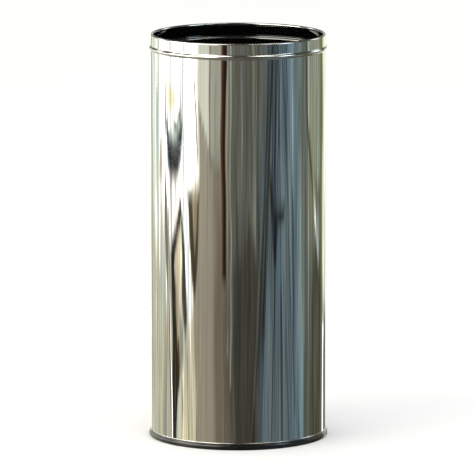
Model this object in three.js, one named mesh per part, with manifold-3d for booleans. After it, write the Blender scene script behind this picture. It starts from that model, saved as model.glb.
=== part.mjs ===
// Umbrella stand: a round, mirror-polished stainless steel tube, open at the top, with a black interior.
// The tube's top edge is curled inwards round a wire, and a stiffening bead runs round it just below.
// Its foot has a fine bead and is crimped into a pressed steel base pan, a black plastic ring snaps over
// the crimp to protect the floor, and a black plastic tray lies on the pan to catch the drips and lifts
// out through the mouth.
// Millimetres, +Z up, origin at the centre of the circle that the ring stands on.
import * as THREE from "three";
import { mergeVertices } from "three/addons/utils/BufferGeometryUtils.js";
import Module from "manifold-3d";

const wasm = await Module();
wasm.setup();

// Driving dimensions.
const HEIGHT = 580; // floor to the top of the rim
const BODY_RADIUS = 125; // outside of the plain tube
const SHEET = 0.6; // thickness of the shell and of the base pan
const GAP = 0.3; // clearance between separate pieces that touch on the real object
const SEGMENTS = 48; // facets round every turned piece

// Rim: the sheet's top edge curled inwards round a wire.
const CURL_RADIUS = 2.1; // outside of the curl
const CURL_TURN = 285; // degrees that the sheet turns through
const CURL_STEPS = 9;

// Beads rolled outwards: the stiffening one below the rim, and a small one that the base ring butts against.
const RIM_BEAD = { middleZ: HEIGHT - 19.5, protrusion: 2.2, halfHeight: 3.8 };
const FOOT_BEAD = { middleZ: 8.8, protrusion: 0.6, halfHeight: 1 };
const BEAD_NOSE_SHARE = 0.56; // the rounded nose's share of nose radius plus fillet radius

// Black skin on the inside of the shell.
const LINING = 0.4;

// Foot of the shell, base pan and base ring.
const FOOT_Z = 3; // lower edge of the shell, inside the crimp
const PAN_Z = 9.6; // middle of the pan's flat sheet
const PAN_CORNER = 3; // bend from the flat sheet down into the skirt
const PAN_RIDGE = { inner: 58, outer: 92, rise: 2, slope: 3 }; // pressed ring that stiffens the pan
const CRIMP_TOP_Z = 4.9; // top of the crimp's outer leg
const RING = { bulge: 3.2, widestZ: 3, lipZ: 7.4, footInset: 1.4, floor: 1.1, innerLeg: 1.8, innerTopZ: 6.4 };
const RING_STEPS = 5; // facets in each quarter of the ring's outside curve

// Drip tray.
const TRAY_RADIUS = 118.4; // outside of the tray's lip
const TRAY = { floor: 2, wall: 1.8, height: 34, draft: 4, lip: 2.4, lipDrop: 2, chamfer: 2 };
const TRAY_RIB = { height: 3, width: 2, radii: [28, 53, 78, 103] };
const TRAY_SPOKES = 8;
const SPOKE_HEIGHT = 2.4;

const polishedSteel = new THREE.MeshStandardMaterial({ color: 0xc9c8c2, metalness: 1, roughness: 0.06 });
const wireSteel = new THREE.MeshStandardMaterial({ color: 0x9a9a98, metalness: 1, roughness: 0.35 });
const panSteel = new THREE.MeshStandardMaterial({ color: 0x25262a, metalness: 0.4, roughness: 0.45 });
const blackLacquer = new THREE.MeshStandardMaterial({ color: 0x08080a, metalness: 0, roughness: 0.15 });
const ringPlastic = new THREE.MeshStandardMaterial({ color: 0x14161a, metalness: 0, roughness: 0.35 });
const trayPlastic = new THREE.MeshStandardMaterial({ color: 0x1a1b1d, metalness: 0, roughness: 0.5 });

const point = (r, z) => new THREE.Vector2(r, z);

// Points on a circular arc in the plane of a profile, both ends included, angles in degrees from +r.
function arc(centreR, centreZ, radius, fromDeg, toDeg, steps) {
  return Array.from({ length: steps + 1 }, (_, i) => {
    const angle = THREE.MathUtils.degToRad(fromDeg + ((toDeg - fromDeg) * i) / steps);
    return point(centreR + radius * Math.cos(angle), centreZ + radius * Math.sin(angle));
  });
}

// The outline of a bent sheet whose middle line is the path: its right side forwards, then its left side back.
function strip(path, thickness) {
  const side = (sign) =>
    path.map((p, i) => {
      const before = path[Math.max(i - 1, 0)];
      const after = path[Math.min(i + 1, path.length - 1)];
      const into = (i === 0 ? after.clone().sub(p) : p.clone().sub(before)).normalize();
      const out = (i === path.length - 1 ? p.clone().sub(before) : after.clone().sub(p)).normalize();
      const along = into.clone().add(out).normalize();
      const reach = thickness / 2 / along.dot(out); // mitred, so that the sheet keeps its thickness in a bend
      return point(p.x + sign * along.y * reach, p.y - sign * along.x * reach);
    });
  return [...side(1), ...side(-1).reverse()];
}

// A named piece made by turning a profile about Z. The outline runs up its outside and down its inside, and
// either starts and ends on the axis or is closed here.
function turned(name, outline, material) {
  const profile = outline[0].x === 0 ? outline : [...outline, outline[0].clone()];
  const geometry = new THREE.LatheGeometry(profile, SEGMENTS).rotateX(Math.PI / 2);
  const mesh = new THREE.Mesh(geometry, material);
  mesh.name = name;
  return mesh;
}

// The middle line of a sheet that follows a bead, at the given offset inside the shell's own middle line.
function beadPath({ middleZ, protrusion, halfHeight }, offset, steps) {
  const turn = 2 * Math.atan(protrusion / halfHeight);
  const turnDeg = THREE.MathUtils.radToDeg(turn);
  const radii = halfHeight / Math.sin(turn);
  const nose = radii * BEAD_NOSE_SHARE;
  const fillet = radii - nose;
  const wall = BODY_RADIUS - SHEET / 2;
  const noseCentre = wall + protrusion - nose;
  const below = arc(wall + fillet, middleZ - halfHeight, fillet + offset, 180, 180 - turnDeg, steps);
  const round = arc(noseCentre, middleZ, nose - offset, -turnDeg, turnDeg, 2 * steps);
  const above = arc(wall + fillet, middleZ + halfHeight, fillet + offset, 180 + turnDeg, 180, steps);
  return [...below, ...round.slice(1, -1), ...above];
}

// The polished tube with its two beads and its curled rim.
function bodyShell() {
  const wall = BODY_RADIUS - SHEET / 2;
  const curlCentreR = BODY_RADIUS - CURL_RADIUS;
  const curlCentreZ = HEIGHT - CURL_RADIUS;
  const curl = arc(curlCentreR, curlCentreZ, CURL_RADIUS - SHEET / 2, 0, CURL_TURN, CURL_STEPS);
  const path = [point(wall, FOOT_Z), ...beadPath(FOOT_BEAD, 0, 1), ...beadPath(RIM_BEAD, 0, 3), ...curl];
  return turned("body_shell", strip(path, SHEET), polishedSteel);
}

// The wire that the rim is curled round.
function rimWire() {
  const radius = CURL_RADIUS - SHEET - GAP;
  const outline = arc(BODY_RADIUS - CURL_RADIUS, HEIGHT - CURL_RADIUS, radius, 0, 360, 8).slice(0, -1);
  return turned("rim_wire", outline, wireSteel);
}

// The black skin, from the base pan up to the underside of the curl.
function innerLining() {
  const offset = SHEET / 2 + GAP + LINING / 2;
  const radius = BODY_RADIUS - SHEET / 2 - offset;
  const bottom = PAN_Z + SHEET / 2 + GAP;
  const top = HEIGHT - 2 * CURL_RADIUS - GAP;
  const path = [point(radius, bottom), ...beadPath(RIM_BEAD, offset, 2), point(radius, top)];
  return turned("inner_lining", strip(path, LINING), blackLacquer);
}

// The pressed bottom: a flat sheet with a stiffening ridge and a skirt that hooks round the shell's foot.
function basePan() {
  const ridgeZ = PAN_Z + PAN_RIDGE.rise;
  const pitch = SHEET + GAP; // from one sheet's middle to the next one's in the crimp
  const skirt = BODY_RADIUS - SHEET / 2 - pitch;
  const hookZ = FOOT_Z - (5 * SHEET) / 8;
  const path = [
    point(0, PAN_Z),
    point(PAN_RIDGE.inner, PAN_Z),
    point(PAN_RIDGE.inner + PAN_RIDGE.slope, ridgeZ),
    point(PAN_RIDGE.outer - PAN_RIDGE.slope, ridgeZ),
    point(PAN_RIDGE.outer, PAN_Z),
    ...arc(skirt - PAN_CORNER, PAN_Z - PAN_CORNER, PAN_CORNER, 90, 0, 3),
    ...arc(skirt + pitch, hookZ, pitch, 180, 360, 5),
    point(skirt + 2 * pitch, CRIMP_TOP_Z),
  ];
  return turned("base_pan", strip(path, SHEET), panSteel);
}

// The floor-protecting ring: a channel over the crimp, whose outside bulges and then closes on the shell.
function baseRing() {
  const lip = BODY_RADIUS + GAP;
  const widest = BODY_RADIUS + RING.bulge;
  const channelOut = BODY_RADIUS + SHEET + 2 * GAP;
  const channelIn = BODY_RADIUS - 2 * SHEET - 2 * GAP;
  const footOut = widest - RING.footInset;
  const legIn = channelIn - RING.innerLeg;
  const quarter = (centre, reachR, reachZ, fromDeg, toDeg) =>
    arc(0, 0, 1, fromDeg, toDeg, RING_STEPS).map((p) => point(centre + reachR * p.x, RING.widestZ + reachZ * p.y));
  const outline = [
    point(legIn, 0),
    ...quarter(footOut, RING.footInset, RING.widestZ, -90, 0),
    ...quarter(lip, widest - lip, RING.lipZ - RING.widestZ, 0, 90).slice(1),
    point(lip, CRIMP_TOP_Z + 4 * GAP),
    point(channelOut, CRIMP_TOP_Z + GAP),
    point(channelOut, RING.floor),
    point(channelIn, RING.floor),
    point(channelIn, RING.innerTopZ),
    point(legIn, RING.innerTopZ),
  ];
  return turned("base_ring", outline, ringPlastic);
}

// A mesh's geometry as a solid that can be joined to another.
function solidOf(geometry) {
  const bare = geometry.clone();
  bare.deleteAttribute("normal");
  bare.deleteAttribute("uv");
  const merged = mergeVertices(bare, 1e-3);
  return new wasm.Manifold(
    new wasm.Mesh({
      numProp: 3,
      vertProperties: merged.attributes.position.array,
      triVerts: new Uint32Array(merged.index.array),
    }),
  );
}

// A solid as three.js geometry.
function geometryOf(solid) {
  const mesh = solid.getMesh();
  return new THREE.BufferGeometry()
    .setAttribute("position", new THREE.BufferAttribute(mesh.vertProperties, 3))
    .setIndex(new THREE.BufferAttribute(mesh.triVerts, 1));
}

// The tray: a drafted dish with a turned-over lip, ring ribs on its floor, and spokes that join the ribs.
function dripTray() {
  const bottom = PAN_Z + PAN_RIDGE.rise + SHEET / 2 + GAP;
  const floor = bottom + TRAY.floor;
  const top = bottom + TRAY.height;
  const wallTop = TRAY_RADIUS - TRAY.lip;
  const wallFoot = wallTop - TRAY.draft;
  const ribs = [...TRAY_RIB.radii].reverse().flatMap((radius) => [
    point(radius + TRAY_RIB.width / 2, floor),
    point(radius + TRAY_RIB.width / 2, floor + TRAY_RIB.height),
    point(radius - TRAY_RIB.width / 2, floor + TRAY_RIB.height),
    point(radius - TRAY_RIB.width / 2, floor),
  ]);
  const outline = [
    point(0, bottom),
    point(wallFoot - TRAY.chamfer, bottom),
    point(wallFoot, bottom + TRAY.chamfer),
    point(wallTop, top - TRAY.wall),
    point(TRAY_RADIUS - TRAY.wall, top - TRAY.wall),
    point(TRAY_RADIUS - TRAY.wall, top - TRAY.wall - TRAY.lipDrop),
    point(TRAY_RADIUS, top - TRAY.wall - TRAY.lipDrop),
    point(TRAY_RADIUS, top),
    point(wallTop - TRAY.wall, top),
    point(wallFoot - TRAY.wall, floor),
    ...ribs,
    point(0, floor),
  ];
  const mesh = turned("drip_tray", outline, trayPlastic);
  const inner = TRAY_RIB.radii[0];
  const outer = TRAY_RIB.radii[TRAY_RIB.radii.length - 1];
  const spoke = new THREE.BoxGeometry(outer - inner, TRAY_RIB.width, SPOKE_HEIGHT + TRAY.floor / 2);
  spoke.translate((outer + inner) / 2, 0, floor + (SPOKE_HEIGHT - TRAY.floor / 2) / 2);
  let solid = solidOf(mesh.geometry);
  for (let i = 0; i < TRAY_SPOKES; i += 1) {
    solid = solid.add(solidOf(spoke.clone().rotateZ((2 * Math.PI * (i + 0.5)) / TRAY_SPOKES)));
  }
  mesh.geometry = geometryOf(solid);
  return mesh;
}

const stand = new THREE.Group();
stand.add(bodyShell(), rimWire(), innerLining(), basePan(), baseRing());

const tray = new THREE.Group();
tray.add(dripTray());

const umbrellaStand = new THREE.Group();
umbrellaStand.add(stand, tray);

export default umbrellaStand;
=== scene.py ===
"""Looks of a round umbrella stand: mirror-polished steel outside, black inside.

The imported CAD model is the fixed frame. Every turned piece is drawn here as a fine cross-section and
swept round the axis by a Geometry Nodes tree, so that the polished tube mirrors the room as smoothly as
rolled sheet does. The room itself is painted on a tent that only reflections can see.
Metres, +Z up, the front faces -Y.
"""

import logging
import math
from collections.abc import Callable
from dataclasses import dataclass, field
from enum import Enum

import bpy
import numpy as np
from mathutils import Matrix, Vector


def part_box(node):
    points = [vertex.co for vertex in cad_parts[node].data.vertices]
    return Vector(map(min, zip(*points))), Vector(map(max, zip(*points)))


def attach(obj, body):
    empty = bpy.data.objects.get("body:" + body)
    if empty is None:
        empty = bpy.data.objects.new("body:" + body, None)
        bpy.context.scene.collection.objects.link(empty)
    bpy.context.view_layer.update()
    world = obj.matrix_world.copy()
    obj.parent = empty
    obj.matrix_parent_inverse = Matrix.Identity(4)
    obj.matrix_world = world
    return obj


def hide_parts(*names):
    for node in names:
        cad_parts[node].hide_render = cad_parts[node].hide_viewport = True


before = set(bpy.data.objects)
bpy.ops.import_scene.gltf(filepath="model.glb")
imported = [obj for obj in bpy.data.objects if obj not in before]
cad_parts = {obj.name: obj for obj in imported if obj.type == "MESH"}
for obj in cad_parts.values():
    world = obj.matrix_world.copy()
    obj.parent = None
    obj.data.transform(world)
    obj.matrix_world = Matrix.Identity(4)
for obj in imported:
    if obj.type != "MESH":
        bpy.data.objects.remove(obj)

log = logging.getLogger("umbrella_stand")

Tone = tuple[float, float, float]
Place = tuple[float, float, float]
Point = tuple[float, float]
Socket = bpy.types.NodeSocket
Material = bpy.types.Material

MILLIMETRE = 0.001


class Body(Enum):
    """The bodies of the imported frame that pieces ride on."""

    STAND = "stand"
    TRAY = "tray"


class Slot(Enum):
    """The record's material slots."""

    POLISHED_STEEL = "polished_steel"
    DRAWN_WIRE = "drawn_wire"
    BLACK_LINING = "black_lining"
    PAINTED_PAN = "painted_pan"
    RING_PLASTIC = "ring_plastic"
    TRAY_PLASTIC = "tray_plastic"


def linear(tone: Tone) -> Tone:
    """Turn a tone as a screen shows it, from 0 to 1, into the scene's linear light."""
    return tuple(c / 12.92 if c <= 0.04045 else ((c + 0.055) / 1.055) ** 2.4 for c in tone)


# ----------------------------------------------------------------------------------------------
# Cross-sections
# ----------------------------------------------------------------------------------------------


@dataclass
class Outline:
    """A cross-section as points of (radius, height), each with how much wear its place gets."""

    points: list[Point] = field(default_factory=list)
    wear: list[float] = field(default_factory=list)

    def to(self, radius: float, height: float, rows: int = 1, wear: float = 0.0) -> "Outline":
        """Draw a straight line to a point, or start there.

        Args:
            radius: Distance of the point from the axis.
            height: Height of the point.
            rows: How many equal steps the line is cut into.
            wear: Wear at the points of the line, from 0 to 1.

        Returns:
            The outline itself.
        """
        r0, z0 = self.points[-1] if self.points else (radius, height)
        for i in range(1, rows + 1):
            share = i / rows
            self.points.append((r0 + (radius - r0) * share, z0 + (height - z0) * share))
            self.wear.append(wear)
        return self

    def arc(
        self, centre: Point, radius: float, start: float, end: float, steps: int, wear: float = 0.0,
        squash: float = 1.0,
    ) -> "Outline":
        """Draw a circular or elliptic arc, both ends included.

        Args:
            centre: Radius and height of the arc's centre.
            radius: Radius of the arc, across the piece's axis.
            start: Angle where it starts, in degrees from the outward direction.
            end: Angle where it ends.
            steps: How many facets it has.
            wear: Wear along the arc, from 0 to 1.
            squash: Height of the arc's ellipse as a share of its width.

        Returns:
            The outline itself.
        """
        for i in range(steps + 1):
            angle = math.radians(start + (end - start) * i / steps)
            point = (centre[0] + radius * math.cos(angle), centre[1] + squash * radius * math.sin(angle))
            if self.points and math.dist(point, self.points[-1]) < 1e-7:
                self.wear[-1] = max(self.wear[-1], wear)
                continue
            self.points.append(point)
            self.wear.append(wear)
        return self

    def sheet(self, thickness: float) -> "Outline":
        """Give a line of sheet its thickness, half to each side.

        Args:
            thickness: Thickness of the sheet.

        Returns:
            A new closed outline: along the right side, then back along the left.
        """
        path = np.array(self.points)
        steps = np.diff(path, axis=0)
        steps /= np.linalg.norm(steps, axis=1)[:, None]
        into, out = np.vstack([steps[:1], steps]), np.vstack([steps, steps[-1:]])
        along = into + out
        along /= np.linalg.norm(along, axis=1)[:, None]
        reach = thickness / 2 / np.einsum("ij,ij->i", along, out)
        side = np.stack([along[:, 1], -along[:, 0]], axis=1) * reach[:, None]
        both = np.vstack([path + side, (path - side)[::-1]])
        both[:, 0] = np.maximum(both[:, 0], 0.0)
        return Outline([tuple(p) for p in both.tolist()], self.wear + self.wear[::-1])


# ----------------------------------------------------------------------------------------------
# Node trees
# ----------------------------------------------------------------------------------------------


@dataclass(frozen=True)
class Weave:
    """A small helper that adds nodes to a tree and wires them."""

    tree: bpy.types.NodeTree

    def add(
        self, kind: str, inputs: dict[str | int, object] | None = None, **settings: object
    ) -> bpy.types.Node:
        """Add a node.

        Args:
            kind: The node's type name in Blender.
            inputs: Values or sockets by input name or number. A socket is linked, a value is set.
            settings: Properties of the node, such as its operation.

        Returns:
            The new node.
        """
        node = self.tree.nodes.new(kind)
        for name, value in settings.items():
            setattr(node, name, value)
        for key, value in (inputs or {}).items():
            if isinstance(value, Socket):
                self.tree.links.new(value, node.inputs[key])
            else:
                node.inputs[key].default_value = value
        return node

    def out(self, kind: str, inputs: dict[str | int, object] | None = None, **settings: object) -> Socket:
        """Add a node as add does, and give its first output."""
        return self.add(kind, inputs, **settings).outputs[0]

    def sum(self, operation: str, *values: object) -> Socket:
        """Add a Math node whose inputs are the values, in order, and give its output."""
        return self.out("ShaderNodeMath", dict(enumerate(values)), operation=operation)

    def total(self, start: object, *parts: tuple[Socket, float]) -> Socket:
        """Add up a start and parts, each multiplied by its weight.

        Args:
            start: Number or socket to start from.
            parts: Each part and its weight.

        Returns:
            The total.
        """
        for part, weight in parts:
            start = self.sum("MULTIPLY_ADD", part, weight, start)
        return start

    def vectors(self, operation: str, *values: object) -> Socket:
        """Add a Vector Math node whose inputs are the values, in order, and give its output."""
        return self.out("ShaderNodeVectorMath", dict(enumerate(values)), operation=operation)

    def axis(self, vector: Socket, name: str) -> Socket:
        """Give one coordinate of a vector."""
        return self.add("ShaderNodeSeparateXYZ", {0: vector}).outputs[name]

    def ramp(self, value: Socket, low: object, high: object, kind: str = "SMOOTHSTEP") -> Socket:
        """Raise a mask from 0 where the value is low to 1 where it is high.

        Args:
            value: The value.
            low: Value where the mask is 0.
            high: Value where the mask is 1.
            kind: SMOOTHSTEP or LINEAR.

        Returns:
            The mask.
        """
        ends = {"Value": value, "From Min": low, "From Max": high}
        return self.out("ShaderNodeMapRange", ends, interpolation_type=kind)

    def noise(
        self, place: Socket, scale: object, detail: float, rough: float = 0.5, bend: float = 0.0
    ) -> Socket:
        """Add smooth noise.

        Args:
            place: Where it is read.
            scale: How fine it is.
            detail: How many finer layers it has.
            rough: How strong the finer layers are.
            bend: How far it is distorted.

        Returns:
            The noise, from 0 to 1.
        """
        inputs = {"Vector": place, "Scale": scale, "Detail": detail, "Roughness": rough, "Distortion": bend}
        return self.out("ShaderNodeTexNoise", inputs)


def new_socket(
    tree: bpy.types.NodeTree, name: str, kind: str, value: object = None, side: str = "INPUT"
) -> None:
    """Add a named socket to a node group's interface.

    Args:
        tree: The node group.
        name: The socket's name.
        kind: What it carries, such as Float.
        value: Default value, where it has one.
        side: INPUT or OUTPUT.
    """
    socket = tree.interface.new_socket(name, in_out=side, socket_type="NodeSocket" + kind)
    if value is not None:
        socket.default_value = value


# ----------------------------------------------------------------------------------------------
# Geometry Nodes: the trees that turn a cross-section into a piece
# ----------------------------------------------------------------------------------------------

SWEEP_RADIUS = 0.2


class Lathe:
    """The Geometry Nodes tree that sweeps a cross-section round the axis.

    The cross-section comes in as the edges of a flat mesh, drawn relative to the swept circle. The tree
    closes seams and poles, bends the sheet by a slow wave, and shades smooth every edge that isn't a crease.
    """

    weave: Weave
    given: bpy.types.NodeOutputs
    NAME = "Turned piece"
    SIZES = {
        "Segments": 256, "Sweep Radius": SWEEP_RADIUS, "Crease Angle": 0.6,
        "Wave Depth": 0.0, "Wave Seed": 7.0,
    }

    def tree(self) -> bpy.types.NodeTree:
        """Build the tree once, and find it again afterwards.

        Returns:
            The node group.
        """
        if self.NAME in bpy.data.node_groups:
            return bpy.data.node_groups[self.NAME]
        tree = bpy.data.node_groups.new(self.NAME, "GeometryNodeTree")
        new_socket(tree, "Geometry", "Geometry")
        for title, value in self.SIZES.items():
            new_socket(tree, title, "Int" if isinstance(value, int) else "Float", value)
        new_socket(tree, "Finish", "Material")
        new_socket(tree, "Geometry", "Geometry", side="OUTPUT")
        self.weave = Weave(tree)
        self.given = self.weave.add("NodeGroupInput").outputs
        shaded = self._shade(self.shape(self._sweep()))
        dressed = {"Geometry": self._real(shaded), "Material": self.given["Finish"]}
        self.weave.add("NodeGroupOutput", {"Geometry": self.weave.out("GeometryNodeSetMaterial", dressed)})
        return tree

    def shape(self, turned: Socket) -> Socket:
        """Move the sheet towards the axis and away from it by a slow, tall wave, as rolled sheet has.

        Args:
            turned: The swept geometry.

        Returns:
            The waved geometry.
        """
        weave, given = self.weave, self.given
        place = weave.out("GeometryNodeInputPosition")
        tall = weave.vectors("MULTIPLY", place, (1.0, 1.0, 0.22))
        inputs = {"Vector": tall, "W": given["Wave Seed"], "Scale": 17.0, "Detail": 1.0, "Roughness": 0.35}
        noise = weave.out("ShaderNodeTexNoise", inputs, noise_dimensions="4D")
        depth = weave.sum("MULTIPLY", weave.sum("SUBTRACT", noise, 0.5), given["Wave Depth"])
        outward = weave.vectors("NORMALIZE", weave.vectors("MULTIPLY", place, (1.0, 1.0, 0.0)))
        shift = weave.out("ShaderNodeVectorMath", {0: outward, "Scale": depth}, operation="SCALE")
        return weave.out("GeometryNodeSetPosition", {"Geometry": turned, "Offset": shift})

    def _real(self, geometry: Socket) -> Socket:
        """Turn instances into plain geometry."""
        return self.weave.out("GeometryNodeRealizeInstances", {"Geometry": geometry})

    def _sweep(self) -> Socket:
        """Sweep the cross-section round a circle and close its poles.

        Returns:
            The swept geometry.
        """
        weave, given = self.weave, self.given
        section = weave.out("GeometryNodeMeshToCurve", {"Mesh": given["Geometry"]})
        round_axis = {"Resolution": given["Segments"], "Radius": given["Sweep Radius"]}
        circle = weave.out("GeometryNodeCurvePrimitiveCircle", round_axis)
        swept = weave.out("GeometryNodeCurveToMesh", {"Curve": circle, "Profile Curve": section})
        return weave.out("GeometryNodeMergeByDistance", {"Geometry": swept, "Distance": 1e-6})

    def _shade(self, shaped: Socket) -> Socket:
        """Shade faces smooth and mark the creases sharp.

        Args:
            shaped: The geometry.

        Returns:
            The shaded geometry.
        """
        weave, kind = self.weave, "GeometryNodeSetShadeSmooth"
        smooth = weave.out(kind, {"Geometry": shaped, "Shade Smooth": True}, domain="FACE")
        bent = {0: weave.out("GeometryNodeInputMeshEdgeAngle"), 1: self.given["Crease Angle"]}
        crease = weave.out("FunctionNodeCompare", bent, operation="GREATER_THAN")
        sharp = {"Geometry": smooth, "Selection": crease, "Shade Smooth": False}
        return weave.out(kind, sharp, domain="EDGE")


class RibbedTray(Lathe):
    """The Geometry Nodes tree of the drip tray: its turned dish, with rings and spokes of ribs."""

    NAME = "Ribbed tray"
    SIZES = {
        "Segments": 192, "Sweep Radius": SWEEP_RADIUS, "Crease Angle": 0.6, "Ring Count": 4,
        "First Ring": 28 * MILLIMETRE, "Ring Spacing": 25 * MILLIMETRE, "Spoke Count": 8,
        "Rib Width": 2 * MILLIMETRE, "Rib Top": 17.3 * MILLIMETRE,
    }

    def shape(self, turned: Socket) -> Socket:
        """Lay out the centre lines of the ribs, sweep a rounded bar along them, and join them to the dish.

        Args:
            turned: The dish.

        Returns:
            The ribbed dish.
        """
        weave, width = self.weave, self.given["Rib Width"]
        lines = self._join(self._rings(), self._spokes())
        upright = weave.out("GeometryNodeSetCurveNormal", {"Curve": lines}, mode="Z_UP")
        sides = {"Width": width, "Height": weave.sum("MULTIPLY", width, 2.0)}
        bar = weave.out("GeometryNodeCurvePrimitiveQuadrilateral", sides)
        corners = {"Curve": bar, "Radius": weave.sum("MULTIPLY", width, 0.35), "Count": 3}
        rounded = weave.out("GeometryNodeFilletCurve", corners, mode="POLY")
        swept = {"Curve": upright, "Profile Curve": rounded, "Fill Caps": True}
        return self._join(turned, weave.out("GeometryNodeCurveToMesh", swept))

    def _join(self, first: Socket, second: Socket) -> Socket:
        """Join two geometries.

        Args:
            first: One geometry.
            second: The other.

        Returns:
            Both.
        """
        joined = self.weave.add("GeometryNodeJoinGeometry", {"Geometry": first})
        self.weave.tree.links.new(second, joined.inputs[0])
        return joined.outputs[0]

    def _rings(self) -> Socket:
        """Make the rings' centre lines: one circle, repeated in a row of sizes.

        Returns:
            The circles as curves.
        """
        weave, given = self.weave, self.given
        circle = weave.out("GeometryNodeCurvePrimitiveCircle", {"Resolution": 144, "Radius": 1.0})
        step = weave.sum("MULTIPLY", weave.out("GeometryNodeInputIndex"), given["Ring Spacing"])
        size = weave.sum("ADD", step, given["First Ring"])
        return self._copies(circle, given["Ring Count"], {"Scale": size})

    def _spokes(self) -> Socket:
        """Make the spokes' centre lines: one line from the first ring to the last, turned round the axis.

        Returns:
            The lines as curves.
        """
        weave, given = self.weave, self.given
        gaps = weave.sum("SUBTRACT", given["Ring Count"], 1.0)
        reach = weave.sum("MULTIPLY_ADD", gaps, given["Ring Spacing"], given["First Ring"])
        start, end = (weave.out("ShaderNodeCombineXYZ", {"X": x}) for x in (given["First Ring"], reach))
        line = weave.out("GeometryNodeCurvePrimitiveLine", {"Start": start, "End": end})
        index = weave.out("GeometryNodeInputIndex")
        share = weave.sum("DIVIDE", weave.sum("ADD", index, 0.5), given["Spoke Count"])
        turn = weave.sum("MULTIPLY", share, 2 * math.pi)
        heading = weave.out("ShaderNodeCombineXYZ", {"Z": turn})
        return self._copies(line, given["Spoke Count"], {"Rotation": heading})

    def _copies(self, line: Socket, count: Socket, change: dict[str, Socket]) -> Socket:
        """Repeat a line about the axis, at the height of the ribs' middle.

        Args:
            line: The line.
            count: How often.
            change: Scale or rotation of each copy.

        Returns:
            The copies as curves.
        """
        weave = self.weave
        middle = weave.sum("SUBTRACT", self.given["Rib Top"], self.given["Rib Width"])
        height = weave.out("ShaderNodeCombineXYZ", {"Z": middle})
        row = weave.out("GeometryNodeMeshLine", {"Count": count})
        points = weave.out("GeometryNodeSetPosition", {"Geometry": row, "Position": height})
        copies = {"Points": points, "Instance": line, **change}
        return self._real(weave.out("GeometryNodeInstanceOnPoints", copies))


def face_outwards(mesh: bpy.types.Mesh) -> None:
    """Turn a closed mesh the right way out, in place, judged by the sign of its volume.

    Args:
        mesh: The mesh.
    """
    mesh.calc_loop_triangles()
    corners = np.empty(len(mesh.loop_triangles) * 3, np.int32)
    mesh.loop_triangles.foreach_get("vertices", corners)
    places = np.empty(len(mesh.vertices) * 3, np.float32)
    mesh.vertices.foreach_get("co", places)
    a, b, c = places.reshape(-1, 3)[corners.reshape(-1, 3)].transpose(1, 0, 2)
    if np.einsum("ij,ij->", a, np.cross(b, c)) < 0:
        mesh.flip_normals()


def build_by_nodes(name: str, section: Outline, lathe: Lathe, inputs: dict[str, object]) -> bpy.types.Object:
    """Make a piece from a cross-section with a Geometry Nodes tree, and keep the result as a plain mesh.

    Args:
        name: The piece's name.
        section: Its cross-section. One that starts on the axis is left open, and its ends become poles.
        lathe: The tree that makes it.
        inputs: Values for the tree's inputs, by name.

    Returns:
        The piece.
    """
    mesh = bpy.data.meshes.new(name)
    places = [(radius - SWEEP_RADIUS, -height, 0.0) for radius, height in section.points]
    edges = [(i, i + 1) for i in range(len(places) - 1)]
    if section.points[0][0] > 0.0:
        edges.append((len(places) - 1, 0))
    mesh.from_pydata(places, edges, [])
    mesh.attributes.new("wear", "FLOAT", "POINT").data.foreach_set("value", section.wear)
    piece = bpy.data.objects.new(name, mesh)
    bpy.context.scene.collection.objects.link(piece)
    modifier = piece.modifiers.new("Build", "NODES")
    modifier.node_group = lathe.tree()
    for item in modifier.node_group.interface.items_tree:
        if item.in_out == "INPUT" and item.name in inputs:
            modifier[item.identifier] = inputs[item.name]
    evaluated = piece.evaluated_get(bpy.context.evaluated_depsgraph_get())
    made = bpy.data.meshes.new_from_object(evaluated)
    piece.modifiers.clear()
    piece.data = made
    made.name = name
    face_outwards(made)
    return piece


# ----------------------------------------------------------------------------------------------
# Effects that several finishes share
# ----------------------------------------------------------------------------------------------


@dataclass(frozen=True)
class Effect:
    """A shader node group of marks that making, handling or use leaves. It is made when first placed."""

    name: str
    output: str
    inputs: tuple[str, ...]
    draw: Callable[[Weave, bpy.types.NodeOutputs], Socket]

    def place(self, weave: Weave, **values: object) -> Socket:
        """Put the group into a material.

        Args:
            weave: Helper for the material's tree.
            values: The group's inputs, with spaces as underscores.

        Returns:
            The group's output.
        """
        if self.name not in bpy.data.node_groups:
            tree = bpy.data.node_groups.new(self.name, "ShaderNodeTree")
            for title in self.inputs:
                new_socket(tree, title, "Vector" if title in ("Vector", "Stretch") else "Float")
            new_socket(tree, self.output, "Float", side="OUTPUT")
            inner = Weave(tree)
            drawn = self.draw(inner, inner.add("NodeGroupInput").outputs)
            inner.add("NodeGroupOutput", {self.output: drawn})
        inputs = {key.replace("_", " "): value for key, value in values.items()}
        return weave.out("ShaderNodeGroup", inputs, node_tree=bpy.data.node_groups[self.name])


def draw_hairlines(weave: Weave, given: bpy.types.NodeOutputs) -> Socket:
    """Draw fine long scratches: noise drawn out along one direction, of which only the ridges are kept.

    Args:
        weave: Helper for the group's tree.
        given: The group's inputs.

    Returns:
        A mask, 1 on a scratch.
    """
    drawn_out = weave.vectors("MULTIPLY", given["Vector"], given["Stretch"])
    noise = weave.noise(drawn_out, given["Scale"], 3.0, 0.6)
    low = weave.sum("SUBTRACT", 0.78, weave.sum("MULTIPLY", given["Share"], 0.4))
    return weave.ramp(noise, low, weave.sum("ADD", low, 0.12))


def draw_smudges(weave: Weave, given: bpy.types.NodeOutputs) -> Socket:
    """Draw soft, uneven patches, as hands and cloths leave on a gloss surface.

    Args:
        weave: Helper for the group's tree.
        given: The group's inputs.

    Returns:
        A mask, 1 in the middle of a patch.
    """
    broad = weave.noise(given["Vector"], given["Scale"], 4.0, bend=1.2)
    fine = weave.noise(given["Vector"], weave.sum("MULTIPLY", given["Scale"], 9.0), 5.0, 0.65)
    mottled = weave.sum("MULTIPLY", weave.ramp(broad, 0.48, 0.72), fine)
    return weave.sum("MULTIPLY", mottled, given["Amount"])


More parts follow.
